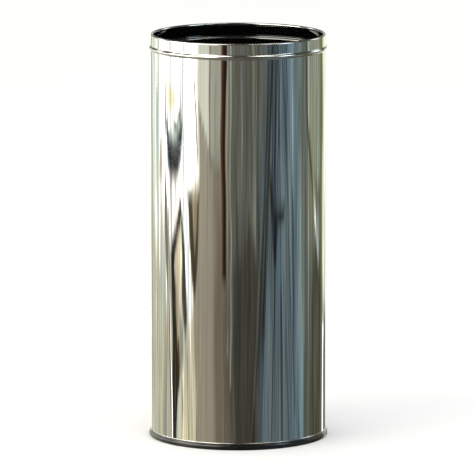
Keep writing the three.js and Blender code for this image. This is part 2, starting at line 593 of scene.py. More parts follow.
def draw_edge_wear(weave: Weave, given: bpy.types.NodeOutputs) -> Socket:
    """Draw rubbed and nicked edges, where the piece's own wear attribute says that it has an edge.

    Args:
        weave: Helper for the group's tree.
        given: The group's inputs.

    Returns:
        A mask, 1 where the edge is worn.
    """
    nicks = weave.noise(given["Vector"], given["Scale"], 6.0, 0.7)
    reach = weave.sum("MULTIPLY", given["Edge"], given["Amount"])
    return weave.ramp(weave.sum("ADD", nicks, weave.sum("SUBTRACT", reach, 0.85)), 0.0, 0.18)


def draw_grain(weave: Weave, given: bpy.types.NodeOutputs) -> Socket:
    """Draw the fine pebbled skin of moulded plastic or powder coat.

    Args:
        weave: Helper for the group's tree.
        given: The group's inputs.

    Returns:
        A height from 0 to 1.
    """
    where = {"Vector": given["Vector"], "Scale": given["Scale"]}
    cells = weave.add("ShaderNodeTexVoronoi", where, feature="SMOOTH_F1").outputs["Distance"]
    return weave.total(cells, (weave.noise(*where.values(), 3.0), 0.5))


def draw_dust(weave: Weave, given: bpy.types.NodeOutputs) -> Socket:
    """Draw the dust that settles on what faces up, thicker low down.

    Args:
        weave: Helper for the group's tree.
        given: The group's inputs.

    Returns:
        A mask, 1 where the dust covers.
    """
    low = weave.ramp(weave.axis(given["Vector"], "Z"), given["Fade Height"], 0.0)
    motes = weave.noise(given["Vector"], 160.0, 8.0, 0.75)
    facing = weave.ramp(given["Up"], 0.2, 0.9, "LINEAR")
    lies = weave.sum("MAXIMUM", facing, weave.sum("MULTIPLY", low, 0.35))
    return weave.sum("MULTIPLY", weave.sum("MULTIPLY", lies, motes), given["Amount"])


def draw_water_marks(weave: Weave, given: bpy.types.NodeOutputs) -> Socket:
    """Draw the pale rims that drips leave where they dry.

    Args:
        weave: Helper for the group's tree.
        given: The group's inputs.

    Returns:
        A mask, 1 on a rim.
    """
    where = {"Vector": given["Vector"], "Scale": given["Scale"]}
    wobble = weave.add("ShaderNodeTexNoise", {**where, "Detail": 3.0}).outputs["Color"]
    shifted = weave.vectors("MULTIPLY_ADD", wobble, (0.02, 0.02, 0.02), given["Vector"])
    drops = weave.add("ShaderNodeTexVoronoi", {**where, "Vector": shifted}).outputs["Distance"]
    off_rim = weave.sum("ABSOLUTE", weave.sum("SUBTRACT", drops, 0.34))
    return weave.sum("MULTIPLY", weave.ramp(off_rim, 0.05, 0.0), given["Amount"])


HAIRLINES = Effect("Hairlines", "Lines", ("Vector", "Stretch", "Scale", "Share"), draw_hairlines)
SMUDGES = Effect("Smudges", "Smudge", ("Vector", "Scale", "Amount"), draw_smudges)
EDGE_WEAR = Effect("Edge wear", "Wear", ("Edge", "Vector", "Scale", "Amount"), draw_edge_wear)
GRAIN = Effect("Pebbled grain", "Height", ("Vector", "Scale"), draw_grain)
DUST = Effect("Settled dust", "Dust", ("Vector", "Up", "Fade Height", "Amount"), draw_dust)
WATER_MARKS = Effect("Water marks", "Marks", ("Vector", "Scale", "Amount"), draw_water_marks)


# ----------------------------------------------------------------------------------------------
# Finishes
# ----------------------------------------------------------------------------------------------


def bare_material(name: str) -> tuple[Material, Weave]:
    """Start a material without nodes.

    Args:
        name: The material's name.

    Returns:
        The material and the helper for its nodes.
    """
    material = bpy.data.materials.new(name)
    material.use_nodes = True
    material.node_tree.nodes.clear()
    return material, Weave(material.node_tree)


@dataclass
class Coat:
    """A finish being mixed: its material, the helper for its nodes, its surface and its coordinates."""

    material: Material
    weave: Weave
    surface: bpy.types.Node
    place: Socket

    @classmethod
    def start(cls, name: str) -> "Coat":
        """Start a material with a Principled surface.

        Args:
            name: The material's name.

        Returns:
            The finish to go on with.
        """
        material, weave = bare_material(name)
        surface = weave.add("ShaderNodeBsdfPrincipled")
        weave.add("ShaderNodeOutputMaterial", {"Surface": surface.outputs[0]})
        return cls(material, weave, surface, weave.add("ShaderNodeTexCoord").outputs["Object"])

    def feed(self, name: str, value: object) -> None:
        """Link a socket to one of the surface's inputs, or set a value on it.

        Args:
            name: The input's name.
            value: The socket or the value.
        """
        if isinstance(value, Socket):
            self.weave.tree.links.new(value, self.surface.inputs[name])
        else:
            self.surface.inputs[name].default_value = value

    def mark(self, effect: Effect, **values: object) -> Socket:
        """Place an effect at the surface's own coordinates."""
        return effect.place(self.weave, Vector=self.place, **values)

    def edge_wear(self, scale: float, amount: float) -> Socket:
        """Place edge wear where the piece's own wear attribute says.

        Args:
            scale: How fine the nicks are.
            amount: How much is worn.

        Returns:
            A mask, 1 where the edge is worn.
        """
        edge = self.weave.add("ShaderNodeAttribute", attribute_name="wear").outputs["Fac"]
        return self.mark(EDGE_WEAR, Edge=edge, Scale=scale, Amount=amount)

    def facing_up(self) -> Socket:
        """Read how much the surface faces up."""
        return self.weave.axis(self.weave.add("ShaderNodeNewGeometry").outputs["Normal"], "Z")

    def dust(self, fade_height: float, amount: float) -> Socket:
        """Place dust on what faces up."""
        return self.mark(DUST, Up=self.facing_up(), Fade_Height=fade_height, Amount=amount)

    def blend(self, mask: Socket, below: Tone | Socket, above: Tone | Socket) -> Socket:
        """Mix two colours by a mask.

        Args:
            mask: Share of the second colour.
            below: First colour, as a tone or a socket.
            above: Second colour.

        Returns:
            The mixed colour.
        """
        sides = [side if isinstance(side, Socket) else (*linear(side), 1.0) for side in (below, above)]
        inputs = {0: mask, 6: sides[0], 7: sides[1]}
        return self.weave.add("ShaderNodeMix", inputs, data_type="RGBA").outputs[2]

    def bump(self, height: Socket, depth: float, strength: float) -> None:
        """Feed a height to the surface's normal.

        Args:
            height: The height, from 0 to 1.
            depth: What a height of 1 stands for, in metres.
            strength: Share of the effect.
        """
        inputs = {"Height": height, "Distance": depth, "Strength": strength}
        self.feed("Normal", self.weave.out("ShaderNodeBump", inputs))


@dataclass(frozen=True)
class PolishedSteel:
    """Stainless sheet polished to a mirror, with fine buffing lines, smudges and a dull weld at the back."""

    tint: Tone = (0.86, 0.855, 0.84)
    dull_tint: Tone = (0.74, 0.73, 0.71)
    gloss_roughness: float = 0.03
    weld_width: float = 0.9 * MILLIMETRE
    weld_top: float = 0.574
    scuff_heights: Point = (0.045, 0.012)

    def make(self) -> Material:
        """Mix the finish.

        Returns:
            The material.
        """
        coat = Coat.start("Polished steel")
        weave = coat.weave
        around = coat.mark(HAIRLINES, Stretch=(0.04, 0.04, 1.0), Scale=900.0, Share=0.35)
        upright = coat.mark(HAIRLINES, Stretch=(1.0, 1.0, 0.02), Scale=520.0, Share=0.12)
        smudge = coat.mark(SMUDGES, Scale=9.0, Amount=0.8)
        weld, scuff, worn = self._weld(coat), self._scuffs(coat), coat.edge_wear(140.0, 0.6)
        lines = weave.total(0.0, (around, 0.02), (upright, 0.05))
        marks = weave.total(lines, (smudge, 0.10), (worn, 0.14), (scuff, 0.22), (weld, 0.25))
        coat.feed("Roughness", weave.sum("ADD", marks, self.gloss_roughness))
        dull = weave.sum("MINIMUM", weave.sum("MULTIPLY", marks, 2.2), 1.0)
        coat.feed("Base Color", coat.blend(dull, self.tint, self.dull_tint))
        coat.feed("Metallic", 1.0)
        coat.bump(weave.total(weld, (upright, -0.25)), 0.06 * MILLIMETRE, 0.6)
        return coat.material

    def _weld(self, coat: Coat) -> Socket:
        """Mark the upright line at the back where the rolled sheet is welded and ground flush.

        Args:
            coat: The finish being mixed.

        Returns:
            A mask, 1 on the weld.
        """
        weave = coat.weave
        x, y, z = (weave.axis(coat.place, name) for name in "XYZ")
        ripple = weave.sum("ADD", weave.noise(coat.place, 220.0, 2.0), 0.5)
        edge = weave.sum("MULTIPLY", ripple, self.weld_width)
        line = weave.ramp(weave.sum("ABSOLUTE", x), edge, weave.sum("MULTIPLY", edge, 0.4))
        behind = weave.sum("GREATER_THAN", y, 0.0)
        below_rim = weave.sum("LESS_THAN", z, self.weld_top)
        return weave.sum("MULTIPLY", line, weave.sum("MULTIPLY", behind, below_rim))

    def _scuffs(self, coat: Coat) -> Socket:
        """Mark the scuffs that shoes and mops leave near the floor.

        Args:
            coat: The finish being mixed.

        Returns:
            A mask, 1 on a scuff.
        """
        low = coat.weave.ramp(coat.weave.axis(coat.place, "Z"), *self.scuff_heights, "LINEAR")
        slanted = coat.mark(HAIRLINES, Stretch=(0.12, 0.12, 1.0), Scale=260.0, Share=0.25)
        return coat.weave.sum("MULTIPLY", low, slanted)


@dataclass(frozen=True)
class BlackLacquer:
    """The gloss black inside, scratched upright by ferrules and dusty towards the bottom. It has lighter grey
    on the bead's edges that is partly rubbed paint and partly a painted highlight.
    """

    tint: Tone = (0.03, 0.03, 0.033)
    scratch_tint: Tone = (0.13, 0.13, 0.13)
    # Grey of the rubbed edges of the groove: partly worn paint, partly a painted highlight line.
    rubbed_tint: Tone = (0.40, 0.39, 0.36)
    dust_tint: Tone = (0.30, 0.285, 0.26)
    refraction: float = 1.9

    def make(self) -> Material:
        """Mix the finish.

        Returns:
            The material.
        """
        coat = Coat.start("Black lacquer")
        weave = coat.weave
        scratches = coat.mark(HAIRLINES, Stretch=(1.0, 1.0, 0.05), Scale=330.0, Share=0.16)
        smudge = coat.mark(SMUDGES, Scale=14.0, Amount=0.7)
        dust, worn = coat.dust(0.3, 0.25), coat.edge_wear(220.0, 0.5)
        scratched = coat.blend(weave.sum("MULTIPLY", scratches, 0.5), self.tint, self.scratch_tint)
        # Lighter grey where the wear attribute marks the groove's edges and the top rows: partly rubbed
        # paint, partly a painted highlight along the groove.
        rubbed = coat.blend(worn, scratched, self.rubbed_tint)
        coat.feed("Base Color", coat.blend(dust, rubbed, self.dust_tint))
        rough = weave.total(0.04, (scratches, 0.16), (worn, 0.12), (smudge, 0.07), (dust, 0.5))
        coat.feed("Roughness", rough)
        peel = weave.noise(coat.place, 420.0, 1.0)
        coat.bump(weave.total(peel, (scratches, -0.4)), 0.015 * MILLIMETRE, 0.4)
        coat.feed("IOR", self.refraction)
        coat.feed("Coat Weight", 1.0)
        coat.feed("Coat IOR", self.refraction)
        return coat.material


@dataclass(frozen=True)
class RingPlastic:
    """Black flexible plastic with a satin skin, and a grey line along its widest part that is partly rubbed
    wear and partly a painted highlight.
    """

    tint: Tone = (0.035, 0.044, 0.05)
    # Grey of the line along the widest part: partly rubbed wear, partly a painted highlight.
    rubbed_tint: Tone = (0.15, 0.16, 0.165)
    dust_tint: Tone = (0.34, 0.33, 0.31)

    def make(self) -> Material:
        """Mix the finish.

        Returns:
            The material.
        """
        coat = Coat.start("Ring plastic")
        weave = coat.weave
        dust, worn = coat.dust(0.002, 0.03), coat.edge_wear(60.0, 0.3)
        smudge = coat.mark(SMUDGES, Scale=30.0, Amount=0.8)
        grain = coat.mark(GRAIN, Scale=2400.0)
        drag = coat.mark(HAIRLINES, Stretch=(0.08, 0.08, 1.0), Scale=1500.0, Share=0.3)
        # Lighter grey where the wear attribute is high, most on the widest bulge: partly rubbing, partly a
        # painted highlight along that line.
        rubbed = coat.blend(weave.sum("MULTIPLY", worn, 0.5), self.tint, self.rubbed_tint)
        coat.feed("Base Color", coat.blend(dust, rubbed, self.dust_tint))
        coat.feed("Roughness", weave.total(0.2, (worn, 0.2), (smudge, 0.08), (drag, 0.06)))
        coat.bump(weave.total(grain, (drag, -0.5)), 0.015 * MILLIMETRE, 0.35)
        coat.feed("Coat Weight", 0.6)
        coat.feed("Coat Roughness", 0.18)
        return coat.material


@dataclass(frozen=True)
class TrayPlastic:
    """Matt black moulded plastic, with the pale rims of dried drips."""

    tint: Tone = (0.205, 0.208, 0.214)
    mark_tint: Tone = (0.46, 0.45, 0.43)
    rubbed_tint: Tone = (0.33, 0.33, 0.33)

    def make(self) -> Material:
        """Mix the finish.

        Returns:
            The material.
        """
        coat = Coat.start("Tray plastic")
        weave = coat.weave
        grain = coat.mark(GRAIN, Scale=1100.0)
        rims = coat.mark(WATER_MARKS, Scale=46.0, Amount=0.15)
        lying = weave.sum("MULTIPLY", rims, weave.sum("MAXIMUM", coat.facing_up(), 0.0))
        scratches = coat.mark(HAIRLINES, Stretch=(0.1, 1.0, 1.0), Scale=420.0, Share=0.14)
        rub = weave.sum("MAXIMUM", coat.edge_wear(420.0, 0.45), weave.sum("MULTIPLY", scratches, 0.6))
        rubbed = coat.blend(rub, self.tint, self.rubbed_tint)
        coat.feed("Base Color", coat.blend(lying, rubbed, self.mark_tint))
        coat.feed("Roughness", weave.total(0.42, (grain, 0.12), (lying, 0.3)))
        coat.bump(grain, 0.04 * MILLIMETRE, 0.6)
        return coat.material


@dataclass(frozen=True)
class PaintedPan:
    """Satin black powder coat on the pressed pan, rubbed where the tray and the floor grit touch it."""

    tint: Tone = (0.11, 0.112, 0.118)
    rubbed_tint: Tone = (0.3, 0.3, 0.3)
    dust_tint: Tone = (0.4, 0.38, 0.35)

    def make(self) -> Material:
        """Mix the finish.

        Returns:
            The material.
        """
        coat = Coat.start("Painted pan")
        weave = coat.weave
        grain, dust = coat.mark(GRAIN, Scale=700.0), coat.dust(0.02, 0.4)
        scratches = coat.mark(HAIRLINES, Stretch=(1.0, 0.08, 1.0), Scale=300.0, Share=0.18)
        rub = weave.sum("MAXIMUM", coat.edge_wear(120.0, 0.7), weave.sum("MULTIPLY", scratches, 0.5))
        rubbed = coat.blend(rub, self.tint, self.rubbed_tint)
        coat.feed("Base Color", coat.blend(dust, rubbed, self.dust_tint))
        coat.feed("Roughness", weave.total(0.34, (grain, 0.1), (dust, 0.4)))
        coat.bump(grain, 0.05 * MILLIMETRE, 0.6)
        return coat.material


@dataclass(frozen=True)
class DrawnWire:
    """Galvanised wire with the lengthwise lines of the drawing die."""

    tint: Tone = (0.7, 0.7, 0.69)
    dark_tint: Tone = (0.5, 0.5, 0.49)

    def make(self) -> Material:
        """Mix the finish.

        Returns:
            The material.
        """
        coat = Coat.start("Drawn wire")
        lines = coat.mark(HAIRLINES, Stretch=(0.05, 0.05, 1.0), Scale=3000.0, Share=0.6)
        smudge = coat.mark(SMUDGES, Scale=60.0, Amount=1.0)
        coat.feed("Base Color", coat.blend(smudge, self.tint, self.dark_tint))
        coat.feed("Roughness", coat.weave.total(0.28, (lines, 0.2)))
        coat.feed("Metallic", 1.0)
        coat.bump(lines, 0.01 * MILLIMETRE, 0.5)
        return coat.material


# ----------------------------------------------------------------------------------------------
# Pieces
# ----------------------------------------------------------------------------------------------


@dataclass(frozen=True)
class Bead:
    """A rounded bead rolled outwards in a sheet: two fillets with a nose between them."""

    middle: float
    protrusion: float
    half_height: float
    nose_share: float = 0.56
    fillet_steps: int = 6
    nose_steps: int = 14
    edge_row: float = 0.4 * MILLIMETRE

    def trace(self, outline: Outline, wall: float, offset: float = 0.0, wear: float = 0.0) -> None:
        """Draw the bead upwards.

        Args:
            outline: Outline to go on with.
            wall: Radius of the sheet that the bead is rolled in.
            offset: How far inside that sheet the drawn line lies.
            wear: Wear on the bead, from 0 to 1.
        """
        turn = 2 * math.atan(self.protrusion / self.half_height)
        degrees = math.degrees(turn)
        radii = self.half_height / math.sin(turn)
        nose = radii * self.nose_share
        fillet = radii - nose
        low, high = self.middle - self.half_height, self.middle + self.half_height
        outline.to(wall - offset, low - self.edge_row)
        outline.arc((wall + fillet, low), fillet + offset, 180, 180 - degrees, self.fillet_steps, wear)
        nose_centre = (wall + self.protrusion - nose, self.middle)
        outline.arc(nose_centre, nose - offset, -degrees, degrees, self.nose_steps, wear)
        outline.arc((wall + fillet, high), fillet + offset, 180 + degrees, 180, self.fillet_steps, wear)
        outline.to(wall - offset, high + self.edge_row)


@dataclass(frozen=True)
class Tube:
    """The measures of the tube that the other pieces are fitted to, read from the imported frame."""

    radius: float
    height: float
    bead_reach: float
    bead_drop: float = 19.5 * MILLIMETRE
    bead_half_height: float = 3.8 * MILLIMETRE
    curl: float = 2.1 * MILLIMETRE
    sheet: float = 0.6 * MILLIMETRE
    gap: float = 0.3 * MILLIMETRE

    @classmethod
    def from_frame(cls) -> "Tube":
        """Measure the frame's shell, whose bead is its widest part.

        Returns:
            The measures.
        """
        reach = 2.2 * MILLIMETRE
        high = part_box("body_shell")[1]
        return cls(radius=high.x - reach, height=high.z, bead_reach=reach)

    @property
    def wall(self) -> float:
        """Radius of the sheet's middle."""
        return self.radius - self.sheet / 2

    @property
    def bead(self) -> Bead:
        """The stiffening bead below the rim."""
        return Bead(self.height - self.bead_drop, self.bead_reach, self.bead_half_height)

    @property
    def curl_centre(self) -> Point:
        """Radius and height of the middle of the rim's curl."""
        return self.radius - self.curl, self.height - self.curl

    def climb(self, path: Outline, rows: int, offset: float = 0.0, wear: float = 0.0) -> None:
        """Draw the sheet's line up to the stiffening bead and over it.

        Args:
            path: Outline to go on with.
            rows: How many steps the straight part has.
            offset: How far inside the sheet's middle the line lies.
            wear: Wear on the bead.
        """
        foot = self.bead.middle - self.bead.half_height - 2 * self.bead.edge_row
        path.to(self.wall - offset, foot, rows)
        self.bead.trace(path, self.wall, offset, wear)


SHEET_WAVE = {"Wave Depth": 0.16 * MILLIMETRE, "Wave Seed": 4.0}


@dataclass
class Piece:
    """A piece of the stand, made from a cross-section that is turned about the axis."""

    tube: Tube
    node: str
    body: Body
    slot: Slot
    finish: PolishedSteel | BlackLacquer | RingPlastic | TrayPlastic | PaintedPan | DrawnWire
    lathe: type[Lathe] = Lathe

    def outline(self) -> Outline:
        """Draw the cross-section."""
        raise NotImplementedError

    def inputs(self) -> dict[str, object]:
        """Give values for the tree's inputs, by name."""
        return {}

    def build(self) -> None:
        """Make the piece, dress it and tie it to the frame."""
        inputs = {"Finish": self.finish.make(), **self.inputs()}
        piece = build_by_nodes(f"look_{self.node}", self.outline(), self.lathe(), inputs)
        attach(piece, self.body.value)
        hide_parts(self.node)
        log.info("%s: %d faces", piece.name, len(piece.data.polygons))


@dataclass
class BodyShell(Piece):
    """The polished tube: one rolled sheet with a curled rim, a stiffening bead and a fine bead low down."""

    node: str = "body_shell"
    body: Body = Body.STAND
    slot: Slot = Slot.POLISHED_STEEL
    finish: PolishedSteel = PolishedSteel()
    foot: float = 3.0 * MILLIMETRE
    foot_bead: Bead = Bead(8.8 * MILLIMETRE, 0.6 * MILLIMETRE, 1.0 * MILLIMETRE, fillet_steps=3, nose_steps=8)
    curl_turn: float = 285.0
    curl_steps: int = 30
    wall_rows: int = 56
    segments: int = 320

    def outline(self) -> Outline:
        """Draw the sheet's middle line from the foot to the end of the curl, and give it its thickness.

        Returns:
            The closed cross-section.
        """
        tube, path = self.tube, Outline()
        path.to(tube.wall, self.foot, wear=0.8)
        self.foot_bead.trace(path, tube.wall, wear=0.7)
        tube.climb(path, self.wall_rows, wear=0.6)
        path.to(tube.wall, tube.curl_centre[1] - tube.bead.edge_row, rows=3)
        path.arc(tube.curl_centre, tube.curl - tube.sheet / 2, 0, self.curl_turn, self.curl_steps, 0.7)
        return path.sheet(tube.sheet)

    def inputs(self) -> dict[str, object]:
        """Give the shell its segments and the slow wave of rolled sheet."""
        return {"Segments": self.segments, **SHEET_WAVE}


@dataclass
class RimWire(Piece):
    """The wire that the rim is curled round."""

    node: str = "rim_wire"
    body: Body = Body.STAND
    slot: Slot = Slot.DRAWN_WIRE
    finish: DrawnWire = DrawnWire()
    steps: int = 24

    def outline(self) -> Outline:
        """Draw the round of the wire.

        Returns:
            The closed cross-section.
        """
        radius = self.tube.curl - self.tube.sheet - self.tube.gap
        return Outline().arc(self.tube.curl_centre, radius, 0, 360 - 360 / self.steps, self.steps - 1)


@dataclass
class InnerLining(Piece):
    """The gloss black skin inside the tube, from the pan up to the curl."""

    node: str = "inner_lining"
    body: Body = Body.STAND
    slot: Slot = Slot.BLACK_LINING
    finish: BlackLacquer = BlackLacquer()
    thickness: float = 0.4 * MILLIMETRE
    bottom: float = 10.2 * MILLIMETRE
    wall_rows: int = 40
    segments: int = 288

    def outline(self) -> Outline:
        """Draw the skin's middle line along the inside of the shell, and give it its thickness.

        Returns:
            The closed cross-section.
        """
        tube = self.tube
        offset = tube.sheet / 2 + tube.gap + self.thickness / 2
        path = Outline().to(tube.wall - offset, self.bottom)
        # The wear on the groove and the top rows becomes a lighter grey in the finish: partly rubbed paint,
        # partly a painted highlight.
        tube.climb(path, self.wall_rows, offset, wear=0.3)
        path.to(tube.wall - offset, tube.height - 2 * tube.curl - tube.gap, rows=3, wear=0.3)
        return path.sheet(self.thickness)

    def inputs(self) -> dict[str, object]:
        """Give the skin its segments and the same wave as the shell that it is on."""
        return {"Segments": self.segments, **SHEET_WAVE}


@dataclass
class BasePan(Piece):
    """The pressed bottom, with a stiffening ridge and a skirt that hooks round the shell's foot."""

    node: str = "base_pan"
    body: Body = Body.STAND
    slot: Slot = Slot.PAINTED_PAN
    finish: PaintedPan = PaintedPan()
    level: float = 9.6 * MILLIMETRE
    ridge: Point = (58 * MILLIMETRE, 92 * MILLIMETRE)
    ridge_rise: float = 2 * MILLIMETRE
    ridge_slope: float = 3 * MILLIMETRE
    corner: float = 3 * MILLIMETRE
    hook_level: float = 2.625 * MILLIMETRE
    crimp_top: float = 4.9 * MILLIMETRE

    def outline(self) -> Outline:
        """Draw the sheet's middle line from the centre to the top of the crimp.

        Returns:
            The cross-section, which starts and ends on the axis.
        """
        pitch = self.tube.sheet + self.tube.gap
        skirt = self.tube.wall - pitch
        top = self.level + self.ridge_rise
        soft = 0.6 * MILLIMETRE
        inner, outer = self.ridge[0] + self.ridge_slope, self.ridge[1] - self.ridge_slope
        path = Outline().to(0.0, self.level).to(self.ridge[0] - soft, self.level, rows=6)
        path.to(self.ridge[0] + soft, self.level + soft / 2).to(inner - soft, top - soft / 2)
        path.to(inner + soft, top, wear=0.5).to(outer - soft, top, rows=4, wear=0.5)
        path.to(outer + soft, top - soft / 2, wear=0.5)
        path.to(self.ridge[1] - soft, self.level + soft / 2).to(self.ridge[1] + soft, self.level)
        path.to(skirt - self.corner - soft, self.level, rows=3)
        path.arc((skirt - self.corner, self.level - self.corner), self.corner, 90, 0, 10)
        path.to(skirt, self.hook_level + soft, rows=2)
        path.arc((skirt + pitch, self.hook_level), pitch, 180, 360, 14)
        path.to(skirt + 2 * pitch, self.crimp_top, rows=2)
        return path.sheet(self.tube.sheet)


@dataclass
class BaseRing(Piece):
    """The black ring that snaps over the crimp: a bulging outside, a fine lip on top, a channel inside."""

    node: str = "base_ring"
    body: Body = Body.STAND
    slot: Slot = Slot.RING_PLASTIC
    finish: RingPlastic = RingPlastic()
    bulge: float = 3.2 * MILLIMETRE
    widest: float = 3 * MILLIMETRE
    lip_level: float = 7.4 * MILLIMETRE
    foot_inset: float = 1.4 * MILLIMETRE
    channel_floor: float = 1.1 * MILLIMETRE
    channel_top: float = 5.2 * MILLIMETRE
    closing_level: float = 6.1 * MILLIMETRE
    inner_leg: float = 1.8 * MILLIMETRE
    inner_top: float = 6.4 * MILLIMETRE
    groove_depth: float = 0.3 * MILLIMETRE
    round_off: float = 0.3 * MILLIMETRE

    def outline(self) -> Outline:
        """Draw the ring's outside upwards, then its channel downwards.

        Returns:
            The closed cross-section.
        """
        tube, groove, off = self.tube, self.groove_depth, self.round_off
        lip, edge = tube.radius + tube.gap, tube.radius + self.bulge
        channel_out = tube.radius + tube.sheet + 2 * tube.gap
        channel_in = tube.radius - 2 * tube.sheet - 2 * tube.gap
        inside, foot = channel_in - self.inner_leg, edge - self.foot_inset
        centre, reach = (lip, self.widest), edge - lip
        squash = (self.lip_level - self.widest) / reach
        line = Outline().to(inside, off).to(inside + off, 0.0, wear=0.4).to(foot, 0.0, rows=3, wear=0.6)
        line.arc((foot, self.widest), self.foot_inset, -90, 0, 12, 0.5, self.widest / self.foot_inset)
        # The bulge gets the highest wear. The finish shows it as a lighter grey line that is partly rubbing
        # and partly a painted highlight.
        line.arc(centre, reach, 3, 52, 10, 0.8, squash)
        radius, height = line.points[-1]
        line.to(radius - groove, height + off, wear=0.1)
        line.to(radius - 1.6 * groove, height + 2 * off, wear=0.1)
        line.to(radius - 1.4 * groove, height + 2.6 * off, wear=0.5)
        line.arc(centre, reach, 66, 90, 6, 0.6, squash)
        line.to(lip, self.closing_level).to(channel_out, self.channel_top)
        line.to(channel_out, self.channel_floor, rows=2).to(channel_in, self.channel_floor)
        line.to(channel_in, self.inner_top - off).to(channel_in - off, self.inner_top)
        return line.to(inside + off, self.inner_top).to(inside, self.inner_top - off)


@dataclass
class DripTray(Piece):
    """The loose tray: a drafted dish with a turned-over lip and a ribbed floor."""

    node: str = "drip_tray"
    body: Body = Body.TRAY
    slot: Slot = Slot.TRAY_PLASTIC
    finish: TrayPlastic = TrayPlastic()
    lathe: type[Lathe] = RibbedTray
    radius: float = 118.4 * MILLIMETRE
    bottom: float = 12.2 * MILLIMETRE
    floor: float = 2 * MILLIMETRE
    wall: float = 1.8 * MILLIMETRE
    height: float = 34 * MILLIMETRE
    draft: float = 4 * MILLIMETRE
    lip: float = 2.4 * MILLIMETRE
    lip_drop: float = 2 * MILLIMETRE
    heel: float = 2 * MILLIMETRE
    fillet: float = 1.5 * MILLIMETRE
    soft: float = 0.4 * MILLIMETRE
    rib_height: float = 3 * MILLIMETRE

    def outline(self) -> Outline:
        """Draw the dish from the axis out along its underside, up, over the lip and back along its floor.

        Returns:
            The cross-section, which starts and ends on the axis.
        """
        soft, top, wall_top = self.soft, self.bottom + self.height, self.radius - self.lip
        under, wall_foot, lip_in = top - self.wall, wall_top - self.draft, self.radius - self.wall
        heel, mouth, inside = wall_foot - self.heel, wall_top - self.wall + soft, wall_foot - self.wall
        floor_top = self.bottom + self.floor
        line = Outline().to(0.0, self.bottom).to(heel - soft, self.bottom, rows=8)
        line.arc((heel, self.bottom + self.heel), self.heel, -90, 0, 8, 0.6)
        line.to(wall_top, under, rows=6).to(lip_in, under)
        line.to(lip_in, under - self.lip_drop).to(self.radius, under - self.lip_drop, wear=0.5)
        line.to(self.radius, top - soft, rows=2, wear=0.7)
        line.arc((self.radius - soft, top - soft), soft, 0, 90, 5, 0.8)
        line.to(mouth, top, rows=2, wear=0.7).arc((mouth, top - soft), soft, 90, 180, 5, 0.6)
        line.to(inside, floor_top + self.fillet, rows=6)
        line.arc((inside - self.fillet, floor_top + self.fillet), self.fillet, 0, -90, 6)
        return line.to(0.0, floor_top, rows=24)

    def inputs(self) -> dict[str, object]:
        """Put the tops of the ribs at their height above the dish's floor."""
        return {"Rib Top": self.bottom + self.floor + self.rib_height}


# ----------------------------------------------------------------------------------------------
# The room that the steel mirrors
# ----------------------------------------------------------------------------------------------


@dataclass(frozen=True)
class Zone:
    """The room's broad tone in one direction: high up and low down."""

    bearing: float
    upper: Tone
    lower: Tone


@dataclass(frozen=True)
class Panel:
    """A shape in the room, by its corners as (bearing in degrees, height in metres)."""

    tone: Tone
    corners: tuple[Point, ...]
    blur: float = 0.6
    strength: float = 1.0


@dataclass(frozen=True)
class Softbox:
    """A bright soft patch high in the room."""

    bearing: float
    half_width: float
    low: float
    high: float
    tone: Tone
    power: float


TOP = 0.75
BOTTOM = -0.55


def band(left: float, right: float, top: float, bottom: float) -> tuple[Point, ...]:
    """Give the corners of an upright band."""
    return (left, top), (right, top), (right, bottom), (left, bottom)


ZONES = (
    Zone(-172, (0.88, 0.89, 0.86), (0.74, 0.73, 0.68)),
    Zone(-165, (0.85, 0.84, 0.81), (0.76, 0.74, 0.70)),
    Zone(-156, (0.60, 0.62, 0.58), (0.69, 0.68, 0.63)),
    Zone(-148, (0.76, 0.79, 0.74), (0.69, 0.69, 0.62)),
    Zone(-128, (0.80, 0.84, 0.79), (0.66, 0.66, 0.57)),
    Zone(-112, (0.96, 0.97, 0.95), (0.65, 0.64, 0.57)),
    Zone(-98, (1.0, 1.0, 0.99), (0.62, 0.59, 0.50)),
    Zone(-70, (1.0, 1.0, 0.98), (0.84, 0.83, 0.74)),
    Zone(-54, (0.92, 0.92, 0.87), (0.60, 0.57, 0.50)),
    Zone(-35, (0.61, 0.62, 0.57), (0.50, 0.47, 0.42)),
    Zone(-22, (0.53, 0.53, 0.48), (0.43, 0.39, 0.345)),
    Zone(-8, (0.41, 0.41, 0.37), (0.34, 0.33, 0.29)),
    Zone(5, (0.33, 0.335, 0.315), (0.235, 0.23, 0.21)),
    Zone(20, (0.35, 0.36, 0.33), (0.26, 0.265, 0.25)),
    Zone(32, (0.32, 0.35, 0.35), (0.29, 0.31, 0.31)),
    Zone(50, (0.36, 0.41, 0.44), (0.36, 0.41, 0.44)),
    Zone(66, (0.37, 0.45, 0.48), (0.43, 0.50, 0.53)),
    Zone(75, (0.38, 0.45, 0.48), (0.36, 0.40, 0.41)),
    Zone(82, (0.40, 0.46, 0.47), (0.37, 0.41, 0.41)),
    Zone(95, (0.33, 0.36, 0.34), (0.34, 0.36, 0.34)),
    Zone(110, (0.52, 0.54, 0.49), (0.31, 0.32, 0.28)),
    Zone(126, (0.54, 0.55, 0.49), (0.29, 0.29, 0.25)),
    Zone(137, (0.44, 0.45, 0.36), (0.36, 0.36, 0.30)),
    Zone(152, (0.85, 0.87, 0.78), (0.54, 0.54, 0.48)),
    Zone(168, (0.91, 0.93, 0.85), (0.48, 0.48, 0.45)),
)

WHITE = (1.0, 1.0, 0.98)
CREAM = (0.84, 0.82, 0.73)
MINT = (0.79, 0.83, 0.77)
UMBER = (0.24, 0.18, 0.12)
SOOT = (0.15, 0.15, 0.13)
OLIVE = (0.27, 0.26, 0.21)
SLATE = (0.18, 0.21, 0.22)
STEEL_BLUE = (0.39, 0.46, 0.50)
SAGE = (0.53, 0.56, 0.50)

